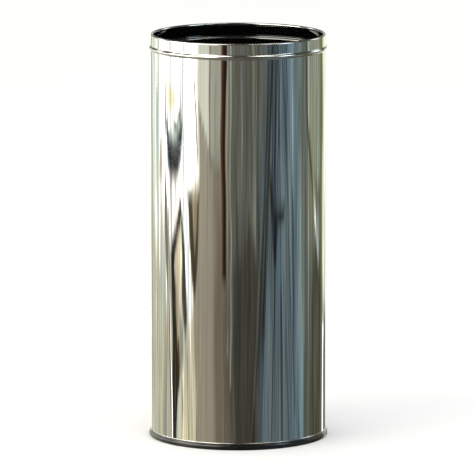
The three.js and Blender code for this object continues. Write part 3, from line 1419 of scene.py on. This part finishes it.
PANELS = (
    # Far left: a pale wall whose foot slopes down to the right.
    Panel(MINT, ((-150, TOP), (-127, TOP), (-127, 0.04), (-138, 0.07), (-150, 0.13)), 1.5, 0.8),
    Panel((0.69, 0.69, 0.63), ((-152, 0.10), (-138, 0.05), (-127, 0.02), (-127, BOTTOM),
                  (-156, BOTTOM)), 2.0, 0.8),
    Panel((0.58, 0.60, 0.54), band(-126.4, -125.2, TOP, BOTTOM), 0.4, 0.8),
    Panel(WHITE, band(-124.4, -123.2, TOP, 0.0), 0.5, 0.9),
    Panel((0.60, 0.51, 0.42), ((-121, 0.23), (-118, 0.23), (-116, 0.19), (-118, 0.16),
                  (-121, 0.17)), 1.2, 0.8),
    Panel((0.62, 0.58, 0.48), ((-120, 0.12), (-117, 0.12), (-116, 0.06), (-119, 0.03)), 1.4, 0.6),
    Panel((0.80, 0.82, 0.70), ((-125, -0.02), (-115, -0.04), (-113, -0.14), (-118, BOTTOM),
                  (-125, BOTTOM)), 1.8, 0.6),
    # The bright window with a lamp in front of it.
    Panel(WHITE, ((-108, TOP), (-53, TOP), (-53, 0.19), (-76, 0.16), (-92, 0.10), (-108, 0.17)), 0.8, 1.0),
    Panel((1.0, 0.89, 0.62), ((-103, 0.318), (-88, 0.318), (-89, 0.292), (-101, 0.290)), 1.2, 0.9),
    Panel((0.33, 0.33, 0.28), ((-109.2, TOP), (-108.2, TOP), (-108.0, 0.24), (-109.0, 0.24)), 0.3, 0.9),
    Panel(SLATE, ((-108, 0.275), (-99, 0.236), (-90, 0.232), (-76, 0.268), (-79, 0.200), (-85, 0.172),
                  (-97, 0.168), (-102, 0.195)), 0.6, 1.0),
    Panel(SOOT, ((-100, 0.200), (-82, 0.203), (-86, 0.178), (-96, 0.172)), 0.8, 0.8),
    Panel((0.62, 0.72, 0.68), ((-97, 0.243), (-86, 0.262), (-77, 0.285), (-79, 0.258),
                  (-88, 0.238)), 0.8, 0.8),
    Panel(SOOT, ((-93, 0.252), (-84, 0.272), (-77, 0.292), (-83, 0.266)), 0.4, 0.9),
    Panel((0.38, 0.37, 0.31), ((-108.5, 0.16), (-105, 0.165), (-102.5, 0.05), (-103.5, -0.04),
                  (-107.5, 0.02)), 0.8, 0.9),
    Panel((0.52, 0.49, 0.42), ((-104, 0.10), (-100, 0.12), (-98, 0.03), (-101, -0.02)), 0.8, 0.6),
    Panel((0.93, 0.91, 0.88), ((-100, 0.175), (-80, 0.172), (-80, 0.12), (-93, 0.05), (-99, 0.05)), 0.8, 0.9),
    # Leaning shadows and the bright gap between them.
    Panel(CREAM, ((-88, 0.08), (-77, 0.11), (-74, 0.0), (-76, -0.08), (-82, -0.07)), 0.8, 0.95),
    Panel((0.52, 0.49, 0.42), ((-82, -0.05), (-75, -0.07), (-74, -0.14), (-80, -0.16)), 1.0, 0.85),
    Panel(SOOT, ((-79, 0.142), (-76.5, 0.120), (-85, 0.062), (-92, 0.020), (-96, 0.028), (-94, 0.058),
                  (-85, 0.098)),
          0.5, 0.95),
    Panel(SOOT, ((-96, 0.045), (-91, 0.050), (-87, -0.05), (-85, -0.10), (-81, -0.17), (-84, -0.20),
                  (-87, -0.26),
                 (-88, BOTTOM), (-91.5, BOTTOM), (-94, -0.10)), 0.4, 0.95),
    Panel((0.42, 0.38, 0.31), ((-88.5, 0.01), (-86.5, -0.02), (-87.5, -0.08), (-89.5, -0.05)), 0.4, 0.7),
    Panel((0.36, 0.32, 0.26), ((-89.5, -0.10), (-87.5, -0.12), (-87.0, -0.19), (-89.0, -0.24)), 0.4, 0.7),
    Panel(UMBER, ((-83.5, -0.10), (-82.0, -0.10), (-80.0, -0.15), (-81.0, -0.19), (-84.5, -0.16)), 0.4, 0.8),
    Panel(SOOT, ((-77.5, -0.18), (-76.3, -0.18), (-74.5, -0.23), (-76.0, -0.24)), 0.3, 0.6),
    Panel(WHITE, ((-100, -0.02), (-98.6, -0.02), (-93.5, -0.20), (-92.0, BOTTOM), (-93.6, BOTTOM),
                  (-95.5, -0.20)),
          0.35, 1.0),
    Panel(SOOT, ((-101.5, -0.02), (-99.8, -0.02), (-96.0, -0.20), (-97.4, -0.24), (-99.5, -0.10)), 0.4, 0.8),
    Panel(OLIVE, ((-80, 0.142), (-73.5, 0.085), (-68, 0.0), (-66.5, -0.035), (-71.5, -0.10),
                  (-77, -0.030), (-76, 0.04)),
          0.6, 1.0),
    Panel(WHITE, ((-77, 0.18), (-66, 0.18), (-62, 0.05), (-59.5, -0.03), (-62, -0.09), (-66, -0.10),
                  (-71, 0.02)),
          0.7, 1.0),
    Panel((0.80, 0.79, 0.70), ((-74, -0.10), (-66, -0.07), (-60, -0.06), (-55, -0.22), (-53, BOTTOM),
                  (-76, BOTTOM)),
          1.2, 0.9),
    Panel(WHITE, ((-66.0, -0.05), (-64.6, -0.05), (-59.6, -0.20), (-58.6, -0.24), (-61.0, -0.20)), 0.5, 0.6),
    Panel((0.45, 0.42, 0.34), ((-71, -0.11), (-70, -0.11), (-55, BOTTOM), (-57, BOTTOM)), 0.3, 0.7),
    Panel((0.62, 0.62, 0.56), ((-75.6, TOP), (-74.6, TOP), (-73.4, 0.08), (-74.6, 0.08)), 0.3, 0.8),
    Panel((0.70, 0.70, 0.62), ((-64.6, 0.30), (-63.6, 0.30), (-63.0, 0.20), (-64.6, 0.20)), 0.4, 0.6),
    Panel((0.58, 0.54, 0.45), ((-64, 0.15), (-50, 0.16), (-53, 0.02), (-57, -0.02), (-61, 0.05)), 0.8, 0.95),
    Panel(OLIVE, ((-67.5, 0.150), (-62, 0.150), (-55.5, 0.02), (-56.5, -0.026), (-61, 0.005)), 0.5, 0.95),
    Panel(OLIVE, ((-50.0, 0.175), (-53.5, 0.130), (-58, 0.0), (-56, -0.026), (-52.5, 0.02)), 0.5, 0.95),
    Panel(UMBER, ((-57.6, 0.335), (-56.0, 0.335), (-54.2, 0.28), (-53.2, 0.21), (-54.4, 0.21), (-56.0, 0.27)),
          0.4, 0.9),
    Panel((1.0, 0.95, 0.80), ((-54.5, 0.36), (-52.8, 0.36), (-51.5, 0.29), (-53.2, 0.29)), 0.7, 0.8),
    # The taupe wall under a cream one that slopes down to the right.
    Panel((0.83, 0.84, 0.78), ((-51, TOP), (-37, TOP), (-37, 0.215), (-45, 0.25), (-51, 0.30)), 1.0, 0.9),
    Panel((0.64, 0.64, 0.59), ((-36, TOP), (-22, TOP), (-20, 0.182), (-30, 0.205), (-36, 0.235)), 0.8, 0.7),
    Panel((0.57, 0.54, 0.48), ((-50, 0.285), (-42, 0.235), (-32, 0.195), (-20, 0.172), (-16, BOTTOM),
                  (-58, BOTTOM),
                               (-53, 0.0)), 0.7, 0.85),
    Panel((0.40, 0.38, 0.33), ((-51, 0.305), (-42, 0.248), (-33, 0.207), (-22, 0.184), (-22, 0.178),
                  (-33, 0.198),
                               (-42, 0.238), (-51, 0.290)), 0.5, 0.7),
    Panel((0.385, 0.35, 0.305), ((-29, 0.16), (-19, 0.17), (-15, BOTTOM), (-31, BOTTOM),
                  (-30, -0.10)), 5.0, 0.75),
    Panel((0.40, 0.40, 0.36), ((-37.0, TOP), (-35.2, TOP), (-34.6, 0.20), (-36.2, 0.21)), 0.4, 0.85),
    Panel((0.40, 0.37, 0.31), ((-28.4, 0.34), (-27.4, 0.34), (-27.0, 0.20), (-28.0, 0.20)), 0.5, 0.3),
    Panel(UMBER, ((-20.6, TOP), (-14.8, TOP), (-15.6, 0.008), (-20.8, 0.008)), 0.5, 1.0),
    Panel((0.36, 0.27, 0.18), ((-21.2, TOP), (-19.6, TOP), (-19.8, 0.03), (-21.4, 0.03)), 0.5, 0.7),
    Panel((0.12, 0.09, 0.07), ((-17.8, TOP), (-15.6, TOP), (-16.2, 0.01), (-18.6, 0.01)), 0.5, 0.8),
    # The dark middle with pale uprights beside it.
    Panel((0.63, 0.61, 0.55), ((-14.8, TOP), (-13.2, TOP), (-12.4, -0.12), (-13.8, -0.12)), 0.5, 0.7),
    Panel((0.62, 0.61, 0.55), ((-11.6, TOP), (-9.2, TOP), (-8.0, -0.10), (-8.4, -0.17),
                  (-10.2, -0.17)), 0.5, 0.9),
    Panel((0.33, 0.31, 0.28), ((-9.4, TOP), (-8.6, TOP), (-7.6, 0.0), (-8.4, 0.0)), 0.3, 0.6),
    Panel((0.50, 0.40, 0.30), ((-13.6, 0.0), (-12.6, 0.0), (-10.2, -0.25), (-11.2, -0.25)), 0.4, 0.5),
    Panel((0.235, 0.225, 0.20), ((-6, 0.03), (6, 0.05), (15, 0.115), (24, 0.02), (22, -0.12),
                  (20, BOTTOM), (2, BOTTOM),
                               (-5, -0.16)), 1.2, 0.85),
    Panel((0.47, 0.47, 0.42), ((15, TOP), (23, TOP), (22.2, 0.12), (21.5, 0.05), (19.0, 0.12)), 0.7, 0.8),
    Panel((0.22, 0.22, 0.20), ((-2.8, TOP), (-2.2, TOP), (-2.0, 0.02), (-2.6, 0.02)), 0.3, 0.5),
    Panel((0.44, 0.43, 0.39), ((4.0, TOP), (5.6, TOP), (5.0, 0.08), (4.0, 0.10)), 0.6, 0.45),
    # The blue-grey side, full of leaning lines.
    Panel((0.38, 0.44, 0.47), ((38, 0.02), (52, 0.06), (68, 0.10), (80, -0.10), (86, BOTTOM), (24, BOTTOM),
                               (30, -0.12)), 2.5, 0.8),
    Panel(SLATE, ((39, 0.185), (42, 0.19), (46, 0.13), (58, 0.125), (61, 0.14), (60, 0.11), (52, 0.10),
                  (50, 0.03), (46, 0.04), (44, 0.11)), 0.6, 0.9),
    Panel(SOOT, ((40.0, 0.175), (41.5, 0.180), (44.5, 0.125), (43.0, 0.115)), 0.5, 0.7),
    Panel(SOOT, ((52.0, 0.118), (59.5, 0.128), (60.5, 0.112), (56.0, 0.104), (51.0, 0.106)), 0.5, 0.7),
    Panel(SLATE, ((51.2, 0.30), (54.0, 0.32), (53.0, 0.22), (50.5, 0.24)), 0.9, 0.5),
    Panel((0.24, 0.25, 0.24), ((24.5, TOP), (25.6, TOP), (26.4, 0.02), (24.6, 0.02)), 0.5, 0.6),
    Panel(SLATE, ((64.4, TOP), (66.0, TOP), (65.2, 0.21), (64.6, 0.21)), 0.4, 0.9),
    Panel(STEEL_BLUE, ((66.8, TOP), (71.0, TOP), (70.0, 0.10), (66.0, 0.12)), 0.8, 0.7),
    Panel((0.52, 0.62, 0.66), ((72.0, TOP), (73.6, TOP), (75.2, 0.10), (73.4, 0.10)), 0.6, 0.75),
    Panel(SLATE, ((70.8, 0.16), (73.6, 0.14), (76.6, 0.0), (77.6, -0.22), (75.4, -0.22),
                  (73.4, 0.0)), 0.9, 0.75),
    Panel((0.41, 0.49, 0.51), ((79, TOP), (85, TOP), (89, 0.05), (97, BOTTOM), (80, BOTTOM),
                  (79, 0.0)), 1.6, 0.8),
    # The right wall under a pale slope.
    Panel(SAGE, ((94, TOP), (133, TOP), (134, 0.16), (128, 0.02), (119, 0.11), (108, 0.20),
                  (99, 0.29)), 1.0, 0.75),
    Panel((0.24, 0.26, 0.23), ((91, TOP), (94, TOP), (101, 0.27), (111, 0.17), (118, 0.10), (116, 0.10),
                  (108, 0.17),
                               (98, 0.26)), 0.5, 0.95),
    Panel((0.96, 0.98, 0.94), ((113, 0.152), (119, 0.10), (127, 0.045), (129, 0.008), (124, 0.03),
                  (116, 0.09)),
          0.7, 0.95),
    Panel(OLIVE, ((112, 0.02), (121, 0.05), (130, 0.012), (137, -0.03), (139, BOTTOM),
                  (108, BOTTOM)), 1.6, 0.9),
    Panel((0.42, 0.41, 0.33), ((117, -0.02), (124, 0.0), (127, -0.12), (124, -0.26), (116, -0.20)), 2.2, 0.5),
    Panel(OLIVE, ((118, 0.16), (127, 0.14), (134, 0.16), (134, 0.10), (124, 0.11)), 1.0, 0.6),
    Panel((0.38, 0.39, 0.30), ((131, TOP), (139, TOP), (140, 0.10), (141, BOTTOM), (134, BOTTOM),
                  (134, 0.12)), 2.0, 0.7),
    # Far right: a pale yellow-green wall over a grey one.
    Panel((0.84, 0.86, 0.78), band(144, 178, TOP, -0.075), 1.8, 0.8),
    Panel((0.42, 0.41, 0.38), ((139, -0.08), (178, -0.09), (178, BOTTOM), (139, BOTTOM)), 1.0, 0.85),
    Panel(WHITE, ((144.5, -0.085), (148.0, -0.085), (148.0, BOTTOM), (144.0, BOTTOM)), 0.8, 0.95),
)

SOFTBOXES = (
    Softbox(-64, 40, 0.75, 1.6, (1.0, 0.99, 0.94), 6.0),
    Softbox(66, 14, 0.95, 1.6, (0.90, 0.96, 1.0), 6.0),
    Softbox(128, 12, 0.85, 1.5, (0.95, 0.98, 1.0), 4.0),
    Softbox(-128, 10, 0.85, 1.5, (1.0, 0.98, 0.95), 4.0),
)


def show_to_reflections(
    name: str, mesh: bpy.types.Mesh, tone: Tone | None = None, power: float = 1.0
) -> None:
    """Make a stage object of a mesh that only glossy rays see, and let it glow.

    Args:
        name: Name of the object and of its material.
        mesh: The mesh.
        tone: Tone of the glow, or none for the tones painted on the mesh.
        power: Strength of the glow.
    """
    material, weave = bare_material(name)
    painted = weave.add("ShaderNodeAttribute", attribute_name="glow").outputs["Color"]
    color = (*linear(tone), 1.0) if tone else painted
    shine = weave.out("ShaderNodeEmission", {"Color": color, "Strength": power})
    weave.add("ShaderNodeOutputMaterial", {"Surface": shine})
    material.cycles.emission_sampling = "NONE"
    mesh.materials.append(material)
    thing = bpy.data.objects.new(name, mesh)
    bpy.context.scene.collection.objects.link(thing)
    thing.visible_camera = thing.visible_diffuse = thing.visible_shadow = False
    thing.visible_transmission = thing.visible_volume_scatter = False


def smooth(share: np.ndarray) -> np.ndarray:
    """Ease a share from 0 to 1 in and out."""
    return share * share * (3 - 2 * share)


def from_bearing(bearing: np.ndarray, centre: np.ndarray | float) -> np.ndarray:
    """Give the turn from a centre's bearing, from -180 to 180 degrees."""
    return (bearing - centre + 180) % 360 - 180


@dataclass
class RoomPaint:
    """The paint on the tent: tones as displayed, at vertices given by bearing and height.

    Bearings are in degrees, 0 in front of the object and positive to its right.
    """

    bearing: np.ndarray
    height: np.ndarray
    floor: float
    metres_per_degree: float
    seed: int = 23
    bend: float = 0.7
    bend_cell: Point = (3.0, 0.07)
    fine_lines: int = 720
    floor_share: float = 0.28
    plain_bearing: float = -34.0
    plain_share: float = 0.25
    fan: Point = (24.0, 78.0)
    fan_spread: float = 1.5
    floor_tone: Tone = (0.36, 0.35, 0.32)
    floor_cover: float = 0.55
    floor_fade: Point = (-0.30, 0.6)
    ceiling_tone: Tone = (0.27, 0.27, 0.25)
    ceiling_fade: Point = (0.55, 0.5)
    highlight_gain: float = 2.6
    highlight_start: float = 0.86
    steel_reflectance: float = 0.72
    chance: np.random.Generator = field(init=False)
    wavy: np.ndarray = field(init=False)

    def __post_init__(self) -> None:
        """Start the random numbers, and bend the bearings that zones and panels are painted by."""
        self.chance = np.random.default_rng(self.seed)
        self.wavy = self.bearing + self._wobble()
        self.wavy = self.wavy + self.bend * self._mottle(self.bend_cell)

    def light(self) -> np.ndarray:
        """Paint the room.

        Returns:
            Linear light at every vertex.
        """
        paint = self._zones()
        for panel in PANELS:
            paint = self._over(paint, panel.tone, self._inside(panel))
        paint = paint * np.exp(self._liveliness() * self._smears())
        paint = paint * np.exp(self._liveliness() * self._lines())
        low = np.clip((self.floor_fade[0] - self.height) / self.floor_fade[1], 0, 1)
        high = np.clip((self.height - self.ceiling_fade[0]) / self.ceiling_fade[1], 0, 1)
        paint = self._over(paint, self.floor_tone, self.floor_cover * low)
        paint = np.clip(self._over(paint, self.ceiling_tone, high), 0.0, 1.0)
        light = np.where(paint <= 0.04045, paint / 12.92, ((paint + 0.055) / 1.055) ** 2.4)
        level = paint.mean(axis=-1, keepdims=True)
        bright = np.clip((level - self.highlight_start) / (1 - self.highlight_start), 0, 1)
        light = light * (1 + (self.highlight_gain - 1) * bright**2) / self.steel_reflectance
        for box in SOFTBOXES:
            light = self._over(light, np.array(linear(box.tone)) * box.power, self._softbox(box))
        return light

    def _over(self, paint: np.ndarray, tone: Tone | np.ndarray, mask: np.ndarray) -> np.ndarray:
        """Lay a tone over the paint by a mask."""
        return paint * (1 - mask[..., None]) + np.array(tone) * mask[..., None]

    def _wobble(self) -> np.ndarray:
        """Bend upright lines a little, as slightly uneven sheet does.

        Returns:
            Shift of the bearing at every vertex, in degrees.
        """
        shift = np.zeros_like(self.bearing)
        for turns, reach in ((3, 0.5), (7, 0.35), (16, 0.22), (31, 0.15), (58, 0.10)):
            phase, rise = self.chance.uniform(0, 2 * math.pi), self.chance.uniform(2, 5) * turns**0.4
            shift += reach * np.sin(np.radians(self.bearing) * turns + self.height * rise * 3 + phase)
        return shift

    def _zones(self) -> np.ndarray:
        """Blend the broad zones.

        Returns:
            Tones as displayed.
        """
        stops = [zone.bearing for zone in ZONES]
        blend = smooth(np.clip((self.height + 0.12) / 0.34, 0, 1))
        channels = []
        for channel in range(3):
            upper = np.interp(self.wavy, stops, [zone.upper[channel] for zone in ZONES], period=360)
            lower = np.interp(self.wavy, stops, [zone.lower[channel] for zone in ZONES], period=360)
            channels.append(lower + (upper - lower) * blend)
        return np.stack(channels, axis=-1)

    def _inside(self, panel: Panel) -> np.ndarray:
        """Measure how far inside a panel every vertex is.

        Args:
            panel: The panel.

        Returns:
            A mask from 0 to the panel's strength, soft over the width of its blur.
        """
        corners = np.array(panel.corners) / np.array([1.0, self.metres_per_degree])
        x = from_bearing(self.wavy, corners[0, 0]) + corners[0, 0]
        y = self.height / self.metres_per_degree
        nearest = np.full(x.shape, np.inf)
        within = np.zeros(x.shape, bool)
        for (x0, y0), (x1, y1) in zip(corners, np.roll(corners, -1, axis=0)):
            dx, dy = x1 - x0, y1 - y0
            along = np.clip(((x - x0) * dx + (y - y0) * dy) / (dx * dx + dy * dy), 0, 1)
            nearest = np.minimum(nearest, np.hypot(x - x0 - along * dx, y - y0 - along * dy))
            within ^= ((y0 > y) != (y1 > y)) & (x < x0 + (y - y0) * dx / (dy if dy else 1e-9))
        signed = np.where(within, nearest, -nearest)
        return smooth(np.clip(signed / panel.blur / 2 + 0.5, 0, 1)) * panel.strength

    def _mottle(self, cell: Point) -> np.ndarray:
        """Make smooth random values, one drawn for every corner of a grid of cells.

        Args:
            cell: Width of a cell in degrees and its height in metres.

        Returns:
            Values from -1 to 1.
        """
        columns = round(360 / cell[0])
        across, up = (self.bearing + 180) * columns / 360, (self.height - self.floor) / cell[1]
        grid = self.chance.uniform(-1, 1, (int(up.max()) + 2, columns))
        left, row = np.floor(across).astype(int), np.floor(up).astype(int)
        u, v = smooth(across - left), smooth(up - row)
        right, left = (left + 1) % columns, left % columns
        lower = grid[row, left] * (1 - u) + grid[row, right] * u
        upper = grid[row + 1, left] * (1 - u) + grid[row + 1, right] * u
        return lower * (1 - v) + upper * v

    def _smears(self) -> np.ndarray:
        """Make tall patches of lighter, darker, warmer and cooler tone.

        Returns:
            Change of each channel.
        """
        change, warmth = np.zeros_like(self.bearing), np.zeros_like(self.bearing)
        patches = ((6.0, 0.35, 0.08), (2.4, 0.16, 0.09), (1.1, 0.09, 0.09), (0.6, 0.05, 0.06))
        for width, rise, depth in patches:
            change += depth * self._mottle((width, rise))
        for width, rise, depth in ((5.0, 0.22, 0.05), (1.6, 0.12, 0.035)):
            warmth += depth * self._mottle((width, rise))
        return change[..., None] + warmth[..., None] * np.array([1.0, 0.1, -1.0])

    def _liveliness(self) -> np.ndarray:
        """Say how strongly the room is smeared and lined: less on its plain wall."""
        off = np.clip((np.abs(self.bearing - self.plain_bearing) - 14) / 8, 0, 1)[..., None]
        return self.plain_share + (1 - self.plain_share) * off

    def _lines(self) -> np.ndarray:
        """Draw many fine, slightly leaning upright lines, lighter and darker than what is there.

        Returns:
            Change of the tone.
        """
        chance, change = self.chance, np.zeros_like(self.bearing)
        for _ in range(self.fine_lines):
            centre = chance.uniform(-180, 180)
            width = 0.3 * math.exp(chance.normal(0, 0.7)) + 0.12
            depth, lean = chance.normal(0, 0.13), chance.normal(0, 7)
            if self.fan[0] < centre < self.fan[1]:
                lean += self.fan_spread * (sum(self.fan) / 2 - centre)
                depth = -abs(depth) * 2.5 if chance.random() < 0.7 else depth
            middle, reach = chance.uniform(-0.45, 0.55), chance.uniform(0.08, 0.5)
            if chance.random() < self.floor_share:
                middle, reach = chance.uniform(self.floor, -0.6), chance.uniform(0.2, 0.7)
            off = from_bearing(self.bearing, centre + lean * self.height)
            ends = np.clip((reach - np.abs(self.height - middle)) / (0.3 * reach), 0, 1)
            change += depth * np.exp(-((off / width) ** 2)) * ends
        return change[..., None]

    def _softbox(self, box: Softbox) -> np.ndarray:
        """Measure how far inside a soft bright patch every vertex is.

        Args:
            box: The patch.

        Returns:
            A mask from 0 to 1.
        """
        sides = np.clip((box.half_width - np.abs(from_bearing(self.bearing, box.bearing))) / 8, 0, 1)
        middle, reach = (box.low + box.high) / 2, (box.high - box.low) / 2
        return sides * np.clip((reach - np.abs(self.height - middle)) / 0.2, 0, 1)


@dataclass(frozen=True)
class Tent:
    """A wide cylinder round the object that only reflections can see, painted with the room."""

    name: str = "reflection_tent"
    radius: float = 1.5
    floor: float = -1.8
    seen: Point = (-0.42, 0.5)
    ceiling: float = 2.4
    columns: int = 1400

    def build(self) -> None:
        """Make the tent, with its rows close together where the object mirrors them."""
        below = np.linspace(self.floor, self.seen[0], 10, endpoint=False)
        mirrored = np.linspace(*self.seen, 50, endpoint=False)
        heights = np.concatenate([below, mirrored, np.linspace(self.seen[1], self.ceiling, 10)])
        bearing, height = np.meshgrid(np.linspace(-180.0, 180.0, self.columns, endpoint=False), heights)
        angle = np.radians(bearing)
        places = np.stack([np.sin(angle) * self.radius, -np.cos(angle) * self.radius, height], axis=-1)
        index = np.arange(bearing.size).reshape(bearing.shape)
        right = np.roll(index, -1, axis=1)
        quads = np.stack([index[:-1], right[:-1], right[1:], index[1:]], axis=-1).reshape(-1, 4)
        mesh = bpy.data.meshes.new(self.name)
        ends = [index[0].tolist(), index[-1].tolist()]
        mesh.from_pydata(places.reshape(-1, 3).tolist(), [], quads.tolist() + ends)
        light = RoomPaint(bearing, height, self.floor, math.radians(1.0) * self.radius).light()
        opaque = np.concatenate([light, np.ones((*light.shape[:2], 1))], axis=-1)
        mesh.color_attributes.new("glow", "FLOAT_COLOR", "POINT").data.foreach_set("color", opaque.ravel())
        show_to_reflections(self.name, mesh)


@dataclass(frozen=True)
class Skylight:
    """A glowing sector of a ring under the tent's ceiling, which only reflections can see."""

    name: str
    bearing: float
    half_width: float
    power: float
    reach: Point = (0.2, 1.4)
    height: float = 2.3
    tone: Tone = (1.0, 0.99, 0.96)
    steps: int = 12

    def build(self) -> None:
        """Hang the sector level, at its height."""
        spread = np.linspace(self.bearing - self.half_width, self.bearing + self.half_width, self.steps)
        rim = np.stack([np.sin(np.radians(spread)), -np.cos(np.radians(spread))], axis=-1)
        flat = np.concatenate([self.reach[0] * rim, self.reach[1] * rim[::-1]])
        places = np.column_stack([flat, np.full(len(flat), self.height)])
        mesh = bpy.data.meshes.new(self.name)
        mesh.from_pydata(places.tolist(), [], [tuple(range(len(places)))])
        show_to_reflections(self.name, mesh, self.tone, self.power)


# ----------------------------------------------------------------------------------------------
# Studio
# ----------------------------------------------------------------------------------------------


@dataclass(frozen=True)
class Lamp:
    """A square area light that shines at the middle of the object."""

    name: str
    place: Place
    size: float
    power: float
    tone: Tone

    def hang(self, target: Vector) -> None:
        """Hang the lamp.

        Args:
            target: What it shines at.
        """
        light = bpy.data.lights.new(self.name, "AREA")
        light.size, light.energy, light.color = self.size, self.power, linear(self.tone)
        hung = bpy.data.objects.new(self.name, light)
        hung.location = self.place
        hung.rotation_euler = (target - Vector(self.place)).to_track_quat("-Z", "Y").to_euler()
        hung.visible_glossy = False
        bpy.context.scene.collection.objects.link(hung)


@dataclass(frozen=True)
class Studio:
    """Pale floor, even white surroundings, soft lamps, the painted tent and the camera."""

    target: Place = (-0.001, 0.0, 0.2853)
    distance: float = 8.1
    elevation: float = 9.21
    lens: float = 428.8
    floor_tone: Tone = (0.97, 0.97, 0.965)
    floor_size: float = 200.0
    surroundings: float = 1.07
    skylights: tuple[Skylight, ...] = (
        Skylight("skylight_left", -62.0, 36.0, 2.4),
        Skylight("skylight_right", 66.0, 12.0, 4.0),
    )
    lamps: tuple[Lamp, ...] = (
        Lamp("key_lamp", (-1.6, -1.2, 2.6), 1.6, 22.0, (1.0, 0.97, 0.92)),
        Lamp("fill_lamp", (2.0, -1.4, 1.8), 1.8, 10.0, (0.93, 0.97, 1.0)),
    )

    def build(self) -> None:
        """Set the scene."""
        self._floor()
        self._world()
        for lamp in self.lamps:
            lamp.hang(Vector(self.target))
        Tent().build()
        for skylight in self.skylights:
            skylight.build()
        self._camera()
        bpy.context.scene.view_settings.view_transform = "Standard"

    def _floor(self) -> None:
        """Lay the floor, which reflections do not see because the tent stands in for it."""
        mesh = bpy.data.meshes.new("studio_floor")
        half = self.floor_size / 2
        corners = [(-half, -half, 0), (half, -half, 0), (half, half, 0), (-half, half, 0)]
        mesh.from_pydata(corners, [], [(0, 1, 2, 3)])
        coat = Coat.start("Studio floor")
        shade = tuple(0.985 * tone for tone in self.floor_tone)
        mottle = coat.weave.noise(coat.place, 3.0, 5.0)
        coat.feed("Base Color", coat.blend(mottle, self.floor_tone, shade))
        coat.feed("Roughness", 0.9)
        coat.feed("Specular IOR Level", 0.0)
        mesh.materials.append(coat.material)
        floor = bpy.data.objects.new("studio_floor", mesh)
        bpy.context.scene.collection.objects.link(floor)
        floor.visible_glossy = False

    def _world(self) -> None:
        """Surround the scene with even white light."""
        world = bpy.data.worlds.new("Studio")
        world.use_nodes = True
        background = world.node_tree.nodes["Background"].inputs
        background["Strength"].default_value = self.surroundings
        background["Color"].default_value = (1.0, 1.0, 1.0, 1.0)
        bpy.context.scene.world = world

    def _camera(self) -> None:
        """Put the camera far off in front, a little above the middle, aimed at the middle."""
        camera = bpy.data.cameras.new("Camera")
        camera.lens = self.lens
        camera.clip_end = 500.0
        tilt = math.radians(self.elevation)
        placed = bpy.data.objects.new("Camera", camera)
        away = Vector((0.0, -math.cos(tilt), math.sin(tilt))) * self.distance
        placed.location = Vector(self.target) + away
        placed.rotation_euler = (-away).to_track_quat("-Z", "Y").to_euler()
        bpy.context.scene.collection.objects.link(placed)
        bpy.context.scene.camera = placed


def main() -> None:
    """Build the object in order, then the studio."""
    logging.basicConfig(level=logging.INFO, format="%(message)s")
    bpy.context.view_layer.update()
    tube = Tube.from_frame()
    for kind in (BodyShell, RimWire, InnerLining, BasePan, BaseRing, DripTray):
        kind(tube).build()
    Studio().build()


if __name__ == "__main__":
    main()
